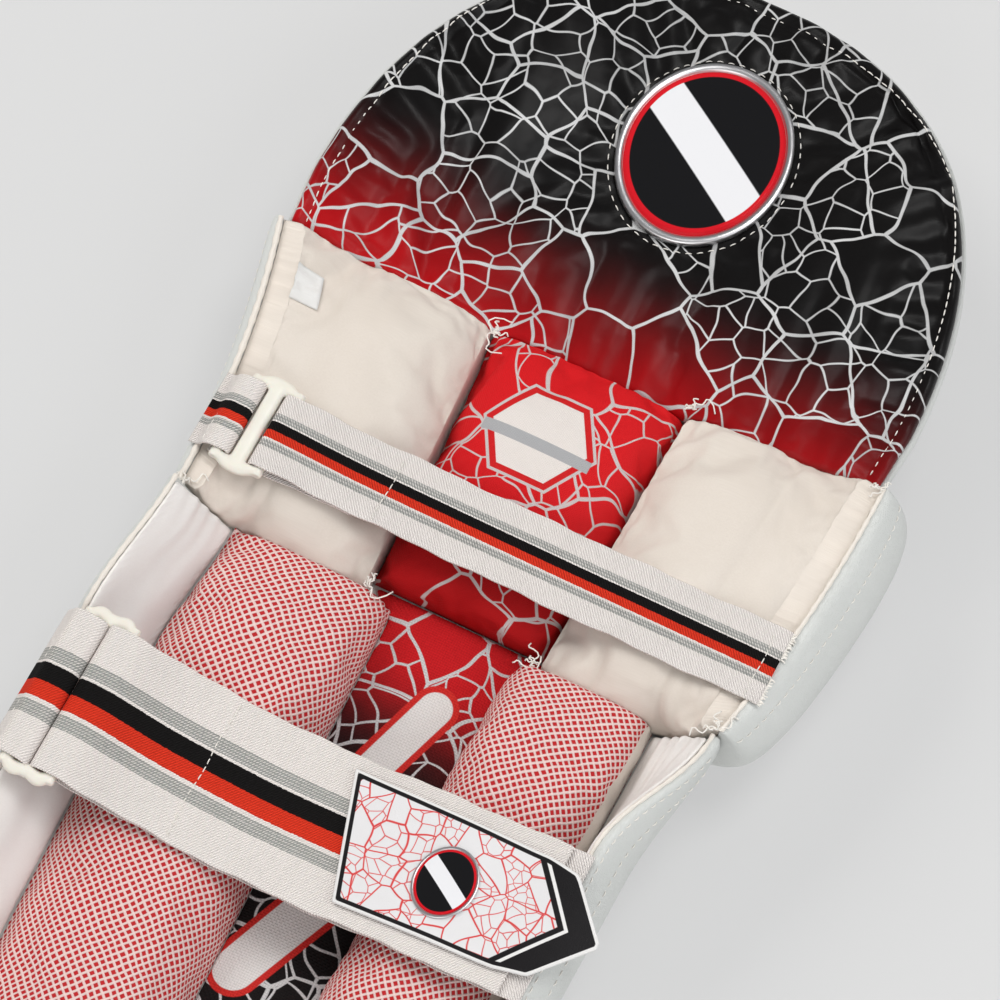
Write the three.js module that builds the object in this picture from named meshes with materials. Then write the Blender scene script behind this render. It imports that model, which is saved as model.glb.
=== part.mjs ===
// A cricket batting pad for the left leg, lying on its front with the leg side up.
// Millimetres. +X crosses the pad, +Y runs up the leg to the thigh, +Z points out of the leg side.
// The origin is on the floor under the middle of the pad.
//
// The pad has three zones along Y: the thigh flap, the knee section and the shin. In each zone the leg-side
// skin is a channel: flat in the middle, then turned up round an arc at each side to make the wings. A place
// on the skin is given by its distance round the section from the centre line ("across", left is negative),
// its height y along the leg, and "out", how far it stands off the skin towards the leg.
import * as THREE from "three";

const radians = THREE.MathUtils.degToRad;
const { lerp, clamp, smoothstep } = THREE.MathUtils;

// Driving dimensions
const PAD_LENGTH = 772;
const FLAP_LENGTH = 216;
const KNEE_LENGTH = 140;
const FLAP_HALF_WIDTH = 156;
const FLAP_SHIFT = -7; // the flap lies a little to the left of the centre line
const FLAP_SHOULDER = 30; // straight part of the flap's sides, below its round top
const CLEARANCE = 0.4; // left between pieces that touch
const CLOTH = 1.8; // wall of a cloth or webbing piece

const TOP_Y = PAD_LENGTH / 2;
const FLAP_Y = TOP_Y - FLAP_LENGTH;
const SHIN_Y = FLAP_Y - KNEE_LENGTH;
const TOE_Y = -PAD_LENGTH / 2;
const KNEE_STRAP_Y = SHIN_Y + 37.5;
const CALF_STRAP_Y = SHIN_Y - 116;
const KNEE_STRAP_WIDTH = 38;
const CALF_STRAP_WIDTH = 74;

// Materials
const finish = (color, roughness, metalness = 0) =>
  new THREE.MeshStandardMaterial({ color, roughness, metalness });
const leatherette = finish(0xe4e7e5, 0.45);
const cotton = finish(0xe6ddd2, 0.9);
const lining = finish(0xe0d8d2, 0.8);
const flapPrint = finish(0x2a1a1a, 0.5);
const cupPrint = finish(0xd8231f, 0.75);
const stripPrint = finish(0x7a1816, 0.8);
const netting = finish(0xd98f8b, 0.85);
const webbing = finish(0xeae5e0, 0.85);
const nylon = finish(0xf0ece6, 0.4);
const patchPrint = finish(0xe9e7e6, 0.5);
const badgeGel = finish(0x1a1a1c, 0.15);

// Helpers

// Values spaced evenly from one end to the other, with `steps` gaps between them.
const spread = (steps, from, to) =>
  Array.from({ length: steps + 1 }, (_, i) => lerp(from, to, i / steps));

// 1 in the middle and 0 at both ends of t = 0..1; a larger power gives a flatter middle and steeper ends.
const crown = (t, power) => Math.pow(1 - Math.pow(Math.abs(2 * t - 1), power), 1 / power);

// A closed wall between two surfaces, `under` and `over`, that share a grid of columns and rows.
function wall(columns, rows, under, over) {
  const positions = [];
  for (const surface of [under, over])
    for (const row of rows)
      for (const column of columns) positions.push(...surface(column, row).toArray());
  const wide = columns.length;
  const layer = wide * rows.length;
  const index = [];
  const quad = (a, b, c, d) => index.push(a, b, c, a, c, d);
  for (let j = 0; j + 1 < rows.length; j++)
    for (let i = 0; i + 1 < wide; i++) {
      const a = j * wide + i;
      quad(layer + a, layer + a + 1, layer + a + wide + 1, layer + a + wide);
      quad(a, a + wide, a + wide + 1, a + 1);
    }
  const edge = [];
  for (let i = 0; i + 1 < wide; i++) edge.push(i);
  for (let j = 0; j + 1 < rows.length; j++) edge.push(j * wide + wide - 1);
  for (let i = wide - 1; i > 0; i--) edge.push(layer - wide + i);
  for (let j = rows.length - 1; j > 0; j--) edge.push(j * wide);
  edge.forEach((a, i) => {
    const b = edge[(i + 1) % edge.length];
    quad(a, b, layer + b, layer + a);
  });
  const geometry = new THREE.BufferGeometry();
  geometry.setAttribute("position", new THREE.Float32BufferAttribute(positions, 3));
  geometry.setIndex(index);
  if (signedVolume(geometry) < 0) geometry.setIndex(index.reverse());
  return geometry;
}

function signedVolume(geometry) {
  const corner = (k) => new THREE.Vector3().fromBufferAttribute(geometry.attributes.position, k);
  const order = geometry.index.array;
  let six = 0;
  for (let k = 0; k < order.length; k += 3)
    six += corner(order[k]).dot(corner(order[k + 1]).cross(corner(order[k + 2])));
  return six / 6;
}

function piece(name, geometry, material) {
  const mesh = new THREE.Mesh(geometry, material);
  mesh.name = name;
  return mesh;
}

function assembly(...meshes) {
  return new THREE.Group().add(...meshes);
}

// The channel section

// How each side of the section turns up: the flat half width, the length of the arc, and its turn. The left
// wings lie splayed. The right shin wing stands at the knee and is pulled in over its bolster by the strap.
const SHIN_SIDES = {
  left: { flat: 70, arc: 94, turn: () => radians(63) },
  right: {
    flat: 77,
    arc: 70,
    turn: (y) => radians(75 + 43 * smoothstep(SHIN_Y - y, 0, 75) - 30 * smoothstep(SHIN_Y - y, 200, 416)),
  },
};
const KNEE_SIDES = {
  left: { flat: 94, arc: 64, turn: () => radians(80) },
  right: { flat: 96, arc: 66, turn: () => radians(90) },
};
const SHIN_TAPER = 0.16; // share of the width lost from the knee to the toe
const SHIN_SKIN = { toe: 24, rise: 12 }; // height of the skin's middle, and its rise towards the knee
const KNEE_SKIN = 36;

const shinShare = (y) => clamp((SHIN_Y - y) / (SHIN_Y - TOE_Y), 0, 1);
const kneeShare = (y) => clamp((y - SHIN_Y) / KNEE_LENGTH, 0, 1);

const shin = {
  sides: SHIN_SIDES,
  skin: (y) => SHIN_SKIN.toe + SHIN_SKIN.rise * Math.pow(1 - shinShare(y), 2),
  taper: (y, sign) =>
    1 - SHIN_TAPER * Math.pow(shinShare(y), 2) - (sign < 0 ? 0.05 * smoothstep(y, SHIN_Y - 70, SHIN_Y) : 0),
};
const knee = {
  sides: KNEE_SIDES,
  skin: () => KNEE_SKIN,
  taper: (y, sign) =>
    sign < 0 ? 1 + 0.158 * Math.pow(kneeShare(y), 2) : 1.06 - 0.11 * Math.pow(1 - kneeShare(y), 2),
};

const sideOf = (zone, sign) => (sign < 0 ? zone.sides.left : zone.sides.right);

// Distance round the section from the centre line to the rim of the wing.
const girth = (zone, sign) => sideOf(zone, sign).flat + sideOf(zone, sign).arc;

function onSkin(zone, across, y, out) {
  const sign = Math.sign(across) || 1;
  const { flat, arc, turn } = sideOf(zone, sign);
  const radius = arc / turn(y);
  const distance = Math.abs(across);
  const angle = clamp((distance - flat) / radius, 0, turn(y));
  const x = Math.min(distance, flat) + (radius - out) * Math.sin(angle);
  const z = radius - (radius - out) * Math.cos(angle);
  return new THREE.Vector3(sign * x * zone.taper(y, sign), y, zone.skin(y) + z);
}

// The front rests on the floor, where its padding is pressed flat.
function onFloor(point) {
  point.z = Math.max(point.z, 0);
  return point;
}

// Ribs

// Depth of a padded face that is sewn down in channels, `pitch` apart, with a rib on the centre line.
const ribDepth = (across, { pitch, crest, groove }) =>
  lerp(groove, crest, Math.pow(Math.abs(Math.cos((Math.PI * across) / pitch)), 0.7));

const SHIN_RIBS = { count: 7, pitch: 26, crest: 25, groove: 13 };
const SHIN_FACE_HALF = (SHIN_RIBS.count * SHIN_RIBS.pitch) / 2;
const FLAP_RIBS = { pitch: 44, crest: 11, groove: 6 };
const STEPS_PER_RIB = 4;

// Toe

const TOE_ARCH = 46; // height of the arch over the instep

// Lower edge of the pad: it arches over the foot, so it is highest on the centre line.
const toeLine = (across) => {
  const share = across / girth(shin, Math.sign(across) || 1);
  return TOE_Y + TOE_ARCH * (1 - share * share);
};

// Height along the shin for v = 0 at the toe line and v = 1 at the knee. All the shin's pieces share the rows
// between their ends, closer together where the right wing is pulled in, so that they keep their clearance.
const shinHeight = (across, v) => lerp(toeLine(across), SHIN_Y - CLEARANCE, v);
const SHIN_ROWS = [0.12, 0.24, 0.36, 0.48, 0.6, 0.7, 0.78, 0.84, 0.89, 0.94];
const LINING_ROWS = [0.02, ...SHIN_ROWS, 0.992];

// Shin pieces

function shinFace() {
  const columns = spread(SHIN_RIBS.count * STEPS_PER_RIB, -SHIN_FACE_HALF, SHIN_FACE_HALF);
  const at = (out) => (across, v) => onSkin(shin, across, shinHeight(across, v), out(across));
  const front = at((across) => -ribDepth(across, SHIN_RIBS));
  return wall(columns, [0, ...SHIN_ROWS, 1], (a, v) => onFloor(front(a, v)), at(() => 0));
}

// Thickness of a wing where it leaves the face, at its rim, and the swell of its padding between them.
const SHIN_WING = { root: 13, rim: 5, swell: 5 };
const KNEE_WINGS = { left: { root: 13, rim: 5, swell: 6 }, right: { root: 13, rim: 5, swell: 22 } };

const wingDepth = ({ root, rim, swell }, share) => lerp(root, rim, share) + swell * Math.sin(Math.PI * share);

function shinWing(sign) {
  const root = SHIN_FACE_HALF + CLEARANCE;
  const rim = girth(shin, sign);
  const at = (out) => (share, v) => {
    const across = sign * lerp(root, rim, share);
    return onSkin(shin, across, shinHeight(across, v), out(share));
  };
  const outside = at((share) => -wingDepth(SHIN_WING, share));
  return wall(spread(8, 0, 1), [0, ...LINING_ROWS, 1], outside, at(() => 0));
}

// The two net-covered rolls stand upright on the skin between the strip and the wings.
const BOLSTER = { square: 4, ends: [0.04, 0.997], hem: 2 };
const BOLSTERS = { left: { outer: 117, height: 35 }, right: { outer: 101, height: 38 } };

// Half width of the strip between the bolsters, which widens towards the knee.
const stripHalf = (y) => 25 + 8 * Math.pow(1 - shinShare(y), 3);

// Distance round the section at which the skin has the sideways place x.
function acrossAt(sign, x, y) {
  const { flat, arc, turn } = sideOf(shin, sign);
  const radius = arc / turn(y);
  return x < flat ? x : flat + radius * Math.asin((x - flat) / radius);
}

function shinBolster(sign) {
  const { outer, height } = sign < 0 ? BOLSTERS.left : BOLSTERS.right;
  const at = (top) => (share, v) => {
    const y = shinHeight(sign * lerp(STRIP_INNER, outer, share), v);
    const x = lerp(stripHalf(y) + CLEARANCE, outer, share);
    const point = onSkin(shin, sign * acrossAt(sign, x, y), y, CLEARANCE);
    const ends = crown((v - BOLSTER.ends[0]) / (BOLSTER.ends[1] - BOLSTER.ends[0]), 14);
    const swell = BOLSTER.hem + (height - BOLSTER.hem) * crown(share, BOLSTER.square) * ends;
    if (top) point.z = Math.max(point.z + BOLSTER.hem, shin.skin(y) + CLEARANCE + swell);
    return point;
  };
  const section = spread(8, 0, 1).map((t) => (1 - Math.cos(Math.PI * t)) / 2);
  const length = [BOLSTER.ends[0], 0.055, ...SHIN_ROWS, 0.975, 0.99, BOLSTER.ends[1]];
  return wall(section, length, at(false), at(true));
}

// Cloth over the inside of each wing, from the foot of the bolster to just inside the rim.
const RIM_INSET = 3;

function wingLining(sign) {
  const { outer } = sign < 0 ? BOLSTERS.left : BOLSTERS.right;
  const rim = girth(shin, sign) - RIM_INSET;
  const at = (out) => (share, v) => {
    const y = shinHeight(sign * lerp(outer, rim, share), v);
    return onSkin(shin, sign * lerp(acrossAt(sign, outer, y) + CLEARANCE + CLOTH, rim, share), y, out);
  };
  return wall(spread(6, 0, 1), LINING_ROWS, at(CLEARANCE), at(CLEARANCE + CLOTH));
}

const STRIP_INNER = stripHalf(TOE_Y);
const STRIP = { edge: 1.6, swell: 2.4, ends: [0.04, 1.02] }; // it runs on a little way under the knee cup

function shinStrip() {
  const at = (out) => (side, v) => {
    const y = shinHeight(side * STRIP_INNER, v);
    return onSkin(shin, side * stripHalf(y), y, out(side));
  };
  const over = at((side) => CLEARANCE + STRIP.edge + STRIP.swell * (1 - side * side));
  return wall(spread(4, -1, 1), [STRIP.ends[0], ...SHIN_ROWS, 1, STRIP.ends[1]], at(() => CLEARANCE), over);
}

// Knee pieces

const ROLL = { count: 3, half: 104, depth: 40, endDepth: 17, seam: 4, square: 2.6 };

function kneeRoll(order) {
  const height = KNEE_LENGTH / ROLL.count;
  const low = SHIN_Y + order * height + CLEARANCE / 2;
  const high = SHIN_Y + (order + 1) * height - CLEARANCE / 2;
  const depth = (across) => lerp(ROLL.depth, ROLL.endDepth, Math.pow(Math.abs(across) / ROLL.half, 4));
  const at = (out) => (across, v) => onSkin(knee, across, lerp(low, high, v), out(across, v));
  const front = at((across, v) => -lerp(ROLL.seam, depth(across), crown(v, ROLL.square)));
  const section = [0, 0.06, 0.18, 0.32, 0.68, 0.82, 0.94, 1];
  return wall(spread(12, -ROLL.half, ROLL.half), section, (a, v) => onFloor(front(a, v)), at(() => 0));
}

function kneeWing(sign) {
  const root = ROLL.half + CLEARANCE;
  const rim = girth(knee, sign);
  const shape = sign < 0 ? KNEE_WINGS.left : KNEE_WINGS.right;
  const at = (out) => (share, v) => {
    const y = lerp(SHIN_Y + CLEARANCE, FLAP_Y - CLEARANCE, v);
    return onSkin(knee, sign * lerp(root, rim, share), y, out(share, v));
  };
  const outside = at((share, v) => -wingDepth(shape, share) * lerp(0.4, 1, crown(v, 4)));
  return wall(spread(8, 0, 1), [0, 0.03, 0.1, 0.25, 0.5, 0.75, 0.9, 0.97, 1], outside, at(() => 0));
}

// Pillows behind the knee: thickness near the centre, near the rim and at the seams.
const PILLOW = { inner: 46, thick: 39, rimThick: 13, seam: 3, square: 3.2, rimInset: 2, low: 1, high: 1 };
// The cup between them ends above the strip, and its lower end hangs over the strip in a roll.
const CUP = { half: PILLOW.inner - 2 * CLEARANCE, thick: 31, seam: 4, square: 2.6, low: 8, high: 1, hang: 8 };

const kneeHeight = ({ low, high }, v) => lerp(SHIN_Y + low, FLAP_Y - high, v);

const pillowFull = (share, v) => crown(lerp(0.02, 0.96, share), PILLOW.square) * crown(v, PILLOW.square);

function pillowOut(share, v) {
  const thick = lerp(PILLOW.thick, PILLOW.rimThick, share * share);
  return CLEARANCE + lerp(PILLOW.seam, thick, pillowFull(share, v));
}

function pillowPlace(sign, share, v, out) {
  const across = sign * lerp(PILLOW.inner, girth(knee, sign) - PILLOW.rimInset, share);
  return onSkin(knee, across, kneeHeight(PILLOW, v), out);
}

function kneePillow(sign) {
  const steps = [0, 0.03, 0.1, 0.22, 0.4, 0.6, 0.78, 0.9, 0.97, 1];
  const under = (share, v) => pillowPlace(sign, share, v, CLEARANCE);
  const over = (share, v) => pillowPlace(sign, share, v, pillowOut(share, v));
  return wall(steps, steps, under, over);
}

function kneeCup() {
  const full = (share, v) => crown(share, CUP.square) * crown(v, CUP.square);
  const at = (out, hang) => (share, v) => {
    const y = kneeHeight(CUP, v) - hang(share, v);
    return onSkin(knee, lerp(-CUP.half, CUP.half, share), y, out(share, v));
  };
  const top = (share, v) => CLEARANCE + lerp(CUP.seam, CUP.thick, full(share, v));
  const hang = (share, v) => CUP.hang * Math.pow(1 - v, 3) * Math.min(1, 2 * full(share, v));
  const steps = [0, 0.04, 0.14, 0.32, 0.5, 0.68, 0.86, 0.96, 1];
  return wall(steps, steps, at(() => CLEARANCE, () => 0), at(top, hang));
}

// A small woven tab on the left pillow.
const LABEL = { shares: [0.83, 0.97], v: [0.73, 0.86], thick: 0.8 };

function sizeLabel() {
  const at = (lift) => (share, v) => pillowPlace(-1, share, v, pillowOut(share, v) + lift);
  const seat = 2 * CLEARANCE;
  return wall(spread(3, ...LABEL.shares), spread(2, ...LABEL.v), at(seat), at(seat + LABEL.thick));
}

// Thigh flap

// Height of the flap's skin at the knee, and its rise to the sides and to the top.
const FLAP = { skin: 42, bow: 27, lift: 14, square: 2.2 };
const LINING = { inset: 2.5, edge: 3, swell: 8, gather: 1.8, gathers: 7 };

const flapSkin = (x, y) =>
  FLAP.skin +
  FLAP.bow * Math.pow((x - FLAP_SHIFT) / FLAP_HALF_WIDTH, 2) +
  FLAP.lift * Math.pow((y - FLAP_Y) / FLAP_LENGTH, 2);

// A place in the flap's outline, which has straight shoulders under a round top. `side` runs from -1 at the
// left edge to 1 at the right edge; `up` runs from -1 at the knee through 0 at the shoulder to 1 at the top.
// `reach` is 0 in the middle of the flap and 1 at its sewn edge.
function flapPlace(side, up, inset) {
  const shoulder = FLAP_Y + FLAP_SHOULDER;
  const half = FLAP_HALF_WIDTH - inset;
  if (up < 0) {
    const y = lerp(shoulder, FLAP_Y + CLEARANCE, -up);
    return { x: FLAP_SHIFT + side * (half + 3 * up), y, reach: Math.abs(side) };
  }
  const p = side * Math.sqrt(1 - (up * up) / 2);
  const q = up * Math.sqrt(1 - (side * side) / 2);
  const reach = Math.hypot(p, q);
  const norm = Math.pow(Math.abs(p), FLAP.square) + Math.pow(q, FLAP.square);
  const fit = reach > 0 ? reach / Math.pow(norm, 1 / FLAP.square) : 1;
  return { x: FLAP_SHIFT + half * p * fit, y: shoulder + (TOP_Y - inset - shoulder) * q * fit, reach };
}

const FLAP_ROWS = [-1, -0.6, 0, 0.2, 0.4, 0.6, 0.8, 0.94, 1];

function flapFace() {
  const at = (out) => (side, up) => {
    const { x, y } = flapPlace(side, up, 0);
    return new THREE.Vector3(x, y, flapSkin(x, y) + out(x));
  };
  const front = at((x) => -ribDepth(x - FLAP_SHIFT, FLAP_RIBS));
  return wall(spread(24, -1, 1), FLAP_ROWS, front, at(() => 0));
}

// Thickness of the padded lining: thin at its sewn edge, and gathered into folds where it meets the knee.
function liningOut(x, y, reach) {
  const puff = Math.sqrt(1 - Math.pow(Math.min(reach, 1), 5));
  const up = (y - FLAP_Y) / FLAP_LENGTH;
  const tuck = lerp(0.35, 1, Math.sqrt(clamp(up / 0.12, 0, 1)));
  const fold = Math.cos((Math.PI * LINING.gathers * (x - FLAP_SHIFT)) / FLAP_HALF_WIDTH) * Math.exp(-5 * up);
  return CLEARANCE + LINING.edge + LINING.swell * puff * tuck + LINING.gather * fold * puff;
}

function flapLining() {
  const at = (out) => (side, up) => {
    const { x, y, reach } = flapPlace(side, up, LINING.inset);
    return new THREE.Vector3(x, y, flapSkin(x, y) + out(x, y, reach));
  };
  return wall(spread(30, -1, 1), FLAP_ROWS, at(() => CLEARANCE), at(liningOut));
}

// The badge is an oval with a low dome, sewn on the middle of the lining.
const BADGE = { x: -3, y: FLAP_Y + 124, halfWidth: 41, halfHeight: 48, edge: 3, dome: 3 };

function flapBadge() {
  const at = (out) => (s, t) => {
    const x = BADGE.x + BADGE.halfWidth * s * Math.sqrt(1 - (t * t) / 2);
    const y = BADGE.y + BADGE.halfHeight * t * Math.sqrt(1 - (s * s) / 2);
    return new THREE.Vector3(x, y, flapSkin(x, y) + liningOut(x, y, 0) + out(s, t));
  };
  const seat = 2 * CLEARANCE;
  const over = at((s, t) => seat + BADGE.edge + BADGE.dome * (1 - s * s) * (1 - t * t));
  return wall(spread(6, -1, 1), spread(6, -1, 1), at(() => seat), over);
}

// Straps

// A strap is a band of webbing, centred on y, that follows a path of places [x, z] across the pad.
function band({ path, y, width, steps }) {
  const curve = new THREE.CatmullRomCurve3(
    path.map(([x, z]) => new THREE.Vector3(x, 0, z)),
    false,
    "centripetal",
  );
  const at = (offset) => (t, side) => {
    const along = curve.getTangent(t);
    const { x, z } = curve.getPoint(t);
    return new THREE.Vector3(x - along.z * offset, y + (side * width) / 2, z + along.x * offset);
  };
  return wall(spread(steps, 0, 1), [-1, 1], at(-CLOTH / 2), at(CLOTH / 2));
}

// A moulded loop: an oval frame with straight bars along Y, lying flat.
function loopFrame({ x, y, z, width, length, bar, slots, thick }) {
  const outline = ovalShape(width, length, width * 0.42);
  const slot = (width - bar * (slots + 1)) / slots;
  for (let k = 0; k < slots; k++) {
    const middle = bar + slot / 2 + k * (slot + bar) - width / 2;
    outline.holes.push(ovalShape(slot, length - 2 * bar, 1.2, middle));
  }
  const bevel = 0.8;
  const geometry = new THREE.ExtrudeGeometry(outline, {
    depth: thick - 2 * bevel,
    bevelThickness: bevel,
    bevelSize: bevel,
    bevelOffset: -bevel,
    bevelSegments: 1,
    curveSegments: 2,
  });
  return geometry.translate(x, y, z + bevel - thick / 2);
}

// A rectangle with rounded corners, centred on x.
function ovalShape(width, length, corner, x = 0) {
  const [w, l] = [width / 2, length / 2];
  const shape = new THREE.Shape();
  shape.moveTo(x + w, corner - l);
  shape.lineTo(x + w, l - corner);
  shape.absarc(x + w - corner, l - corner, corner, 0, Math.PI / 2);
  shape.absarc(x - w + corner, l - corner, corner, Math.PI / 2, Math.PI);
  shape.absarc(x - w + corner, corner - l, corner, Math.PI, 1.5 * Math.PI);
  shape.absarc(x + w - corner, corner - l, corner, 1.5 * Math.PI, 2 * Math.PI);
  return shape;
}

const kneeBand = (path, steps) => band({ path, y: KNEE_STRAP_Y, width: KNEE_STRAP_WIDTH, steps });
const calfBand = (path, steps) => band({ path, y: CALF_STRAP_Y, width: CALF_STRAP_WIDTH, steps });
const KNEE_LOOP = { x: -119, y: KNEE_STRAP_Y, z: 80, width: 27, length: 50, bar: 5, slots: 2, thick: 4 };
const CALF_LOOP = { x: -129.5, y: CALF_STRAP_Y, z: 84, width: 28, length: 86, bar: 5, slots: 1, thick: 4 };

// Middle of a loop's outer bar on the side that `sign` gives.
const barX = (loop, sign) => loop.x + (sign * (loop.width - loop.bar)) / 2;

// The bend of a strap round a bar at x, from above it to below it, passing its `sign` side.
function wrapRound({ z, bar, thick }, x, sign) {
  const rise = thick / 2 + CLEARANCE + CLOTH / 2;
  const reach = bar / 2 + CLEARANCE + CLOTH / 2;
  return [
    [x, z + rise],
    [x + sign * reach * 0.9, z + rise * 0.88],
    [x + sign * (reach + 0.6), z],
    [x + sign * reach * 0.9, z - rise * 0.88],
    [x, z - rise],
  ];
}

// The knee strap is folded back under itself at the loop and sewn on the right rim.
const KNEE_PATH = [
  [141, 79.3],
  [134, 79.8],
  [100, 79.6],
  [40, 79],
  [-20, 79],
  [-70, 80],
  [-98, 82.6],
  ...wrapRound(KNEE_LOOP, barX(KNEE_LOOP, 1), -1),
  [-98, 77],
  [-62, 76.6],
];
const KNEE_TAB_PATH = [
  [-145, 75],
  [-140.6, 75.6],
  [-136.6, 81.4],
  [-133.6, 83.4],
  ...wrapRound(KNEE_LOOP, barX(KNEE_LOOP, -1), 1),
  [-134.5, 76.6],
];

// The calf strap leaves the right rim, sags between the bolsters, turns back round its loop and lies on
// itself.
const CALF_SAG = [
  [86, 82],
  [60, 79.4],
  [30, 74.4],
  [0, 69],
  [-30, 66.8],
  [-60, 69.4],
  [-85, 74],
];
const LAYER = CLOTH + CLEARANCE + 0.2; // from the middle of one layer of webbing to the middle of the next
const CALF_PATH = [
  [110, 86],
  [104, 85.8],
  [98, 84.6],
  ...CALF_SAG,
  [-112, 80.2],
  ...wrapRound(CALF_LOOP, barX(CALF_LOOP, 1), -1).reverse(),
  [-112.5, 86.6],
  ...CALF_SAG.map(([x, z]) => [x, z + LAYER]).reverse(),
  [100, 85 + LAYER],
];
const CALF_TAB_PATH = [
  [-149.4, 67.5],
  [-151.5, 75.4],
  [-150.6, 78.6],
  [-148, 82.4],
  [-145.2, 86.6],
  ...wrapRound(CALF_LOOP, barX(CALF_LOOP, -1), 1),
  [-143.8, 80.8],
];

// The patch lies on the free end of the calf strap: a tall left end that leans, and a pointed right end.
const PATCH = { thick: 1.6, leftTop: -4, leftFoot: 16, tip: 129.5, rise: 2 * LAYER };
const PATCH_HALF = [
  { x: -10, half: 30.5 },
  { x: 93, half: 28.2 },
  { x: 108, half: 25.5 },
  { x: PATCH.tip, half: 1.2 },
];

function strapPatch() {
  const spine = [[PATCH.tip, 86.4], [112, 86.2], [100, 85], ...CALF_SAG].reverse();
  const along = (table, x, from, to) => {
    const k = clamp(table.findIndex((entry) => entry[from] >= x), 1, table.length - 1);
    const [a, b] = [table[k - 1], table[k]];
    return lerp(a[to], b[to], (x - a[from]) / (b[from] - a[from]));
  };
  const at = (lift) => (t, side) => {
    const x = lerp(lerp(PATCH.leftFoot, PATCH.leftTop, (side + 1) / 2), PATCH.tip, t);
    const y = CALF_STRAP_Y + side * along(PATCH_HALF, x, "x", "half");
    return new THREE.Vector3(x, y, along(spine, x, 0, 1) + PATCH.rise + lift);
  };
  const columns = [...spread(8, 0, 0.72), 0.78, 0.84, 0.9, 0.96, 1];
  return wall(columns, spread(4, -1, 1), at(-PATCH.thick / 2), at(PATCH.thick / 2));
}

export default assembly(
  assembly(
    piece("flap_face", flapFace(), leatherette),
    piece("flap_lining", flapLining(), flapPrint),
    piece("flap_badge", flapBadge(), badgeGel),
  ),
  assembly(
    piece("knee_roll_lower", kneeRoll(0), leatherette),
    piece("knee_roll_middle", kneeRoll(1), leatherette),
    piece("knee_roll_upper", kneeRoll(2), leatherette),
    piece("knee_wing_left", kneeWing(-1), leatherette),
    piece("knee_wing_right", kneeWing(1), leatherette),
    piece("knee_pillow_left", kneePillow(-1), cotton),
    piece("knee_pillow_right", kneePillow(1), cotton),
    piece("knee_cup", kneeCup(), cupPrint),
    piece("size_label", sizeLabel(), webbing),
  ),
  assembly(
    piece("shin_face", shinFace(), leatherette),
    piece("shin_wing_left", shinWing(-1), leatherette),
    piece("shin_wing_right", shinWing(1), leatherette),
    piece("wing_lining_left", wingLining(-1), lining),
    piece("wing_lining_right", wingLining(1), lining),
    piece("shin_bolster_left", shinBolster(-1), netting),
    piece("shin_bolster_right", shinBolster(1), netting),
    piece("shin_strip", shinStrip(), stripPrint),
  ),
  assembly(
    piece("knee_strap", kneeBand(KNEE_PATH, 38), webbing),
    piece("knee_strap_tab", kneeBand(KNEE_TAB_PATH, 24), webbing),
    piece("knee_strap_loop", loopFrame(KNEE_LOOP), nylon),
    piece("calf_strap", calfBand(CALF_PATH, 56), webbing),
    piece("calf_strap_tab", calfBand(CALF_TAB_PATH, 26), webbing),
    piece("calf_strap_loop", loopFrame(CALF_LOOP), nylon),
    piece("strap_patch", strapPatch(), patchPrint),
  ),
);
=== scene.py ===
import bpy
import numpy as np
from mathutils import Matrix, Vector


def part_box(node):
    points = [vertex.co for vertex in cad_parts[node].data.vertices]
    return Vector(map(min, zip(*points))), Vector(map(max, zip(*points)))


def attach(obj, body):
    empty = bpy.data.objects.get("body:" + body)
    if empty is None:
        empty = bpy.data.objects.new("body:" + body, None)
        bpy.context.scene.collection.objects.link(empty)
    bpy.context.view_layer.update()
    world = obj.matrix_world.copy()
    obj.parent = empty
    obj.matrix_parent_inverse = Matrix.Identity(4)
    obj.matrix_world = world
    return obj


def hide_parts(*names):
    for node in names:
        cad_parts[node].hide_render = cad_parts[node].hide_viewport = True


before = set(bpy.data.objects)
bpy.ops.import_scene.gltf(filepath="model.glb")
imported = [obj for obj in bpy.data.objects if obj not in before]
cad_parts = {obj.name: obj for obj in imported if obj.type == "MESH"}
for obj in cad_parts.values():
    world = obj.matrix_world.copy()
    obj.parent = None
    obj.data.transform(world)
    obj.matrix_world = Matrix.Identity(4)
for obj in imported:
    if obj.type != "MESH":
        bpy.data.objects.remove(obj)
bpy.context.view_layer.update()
scene = bpy.context.scene

# The view. The pad lies on a pale studio floor and is seen through a long lens from above its lower right.
# A broad soft light stands on the left, a smaller one over the thigh end, and weaker ones fill the shade.
VIEW_AIM = Vector((-0.0084, 0.0925, 0.060))
VIEW_DISTANCE = 1.9
VIEW_LENS = 150.5
VIEW_AZIMUTH = np.radians(27.0)
VIEW_ELEVATION = np.radians(66.5)
view_back = Vector(
    (
        np.sin(VIEW_AZIMUTH) * np.cos(VIEW_ELEVATION),
        -np.cos(VIEW_AZIMUTH) * np.cos(VIEW_ELEVATION),
        np.sin(VIEW_ELEVATION),
    )
)
camera = bpy.data.objects.new("camera", bpy.data.cameras.new("camera"))
camera.data.lens = VIEW_LENS
camera.location = VIEW_AIM + VIEW_DISTANCE * view_back
camera.rotation_euler = view_back.to_track_quat("Z", "Y").to_euler()
scene.collection.objects.link(camera)
scene.camera = camera
scene.view_settings.view_transform = "Standard"

ROOM_COLOUR = (0.97, 0.98, 1.0, 1.0)
ROOM_STRENGTH = 0.24
room = bpy.data.worlds.new("room")
room.use_nodes = True
room.node_tree.nodes["Background"].inputs["Color"].default_value = ROOM_COLOUR
room.node_tree.nodes["Background"].inputs["Strength"].default_value = ROOM_STRENGTH
scene.world = room

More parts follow.
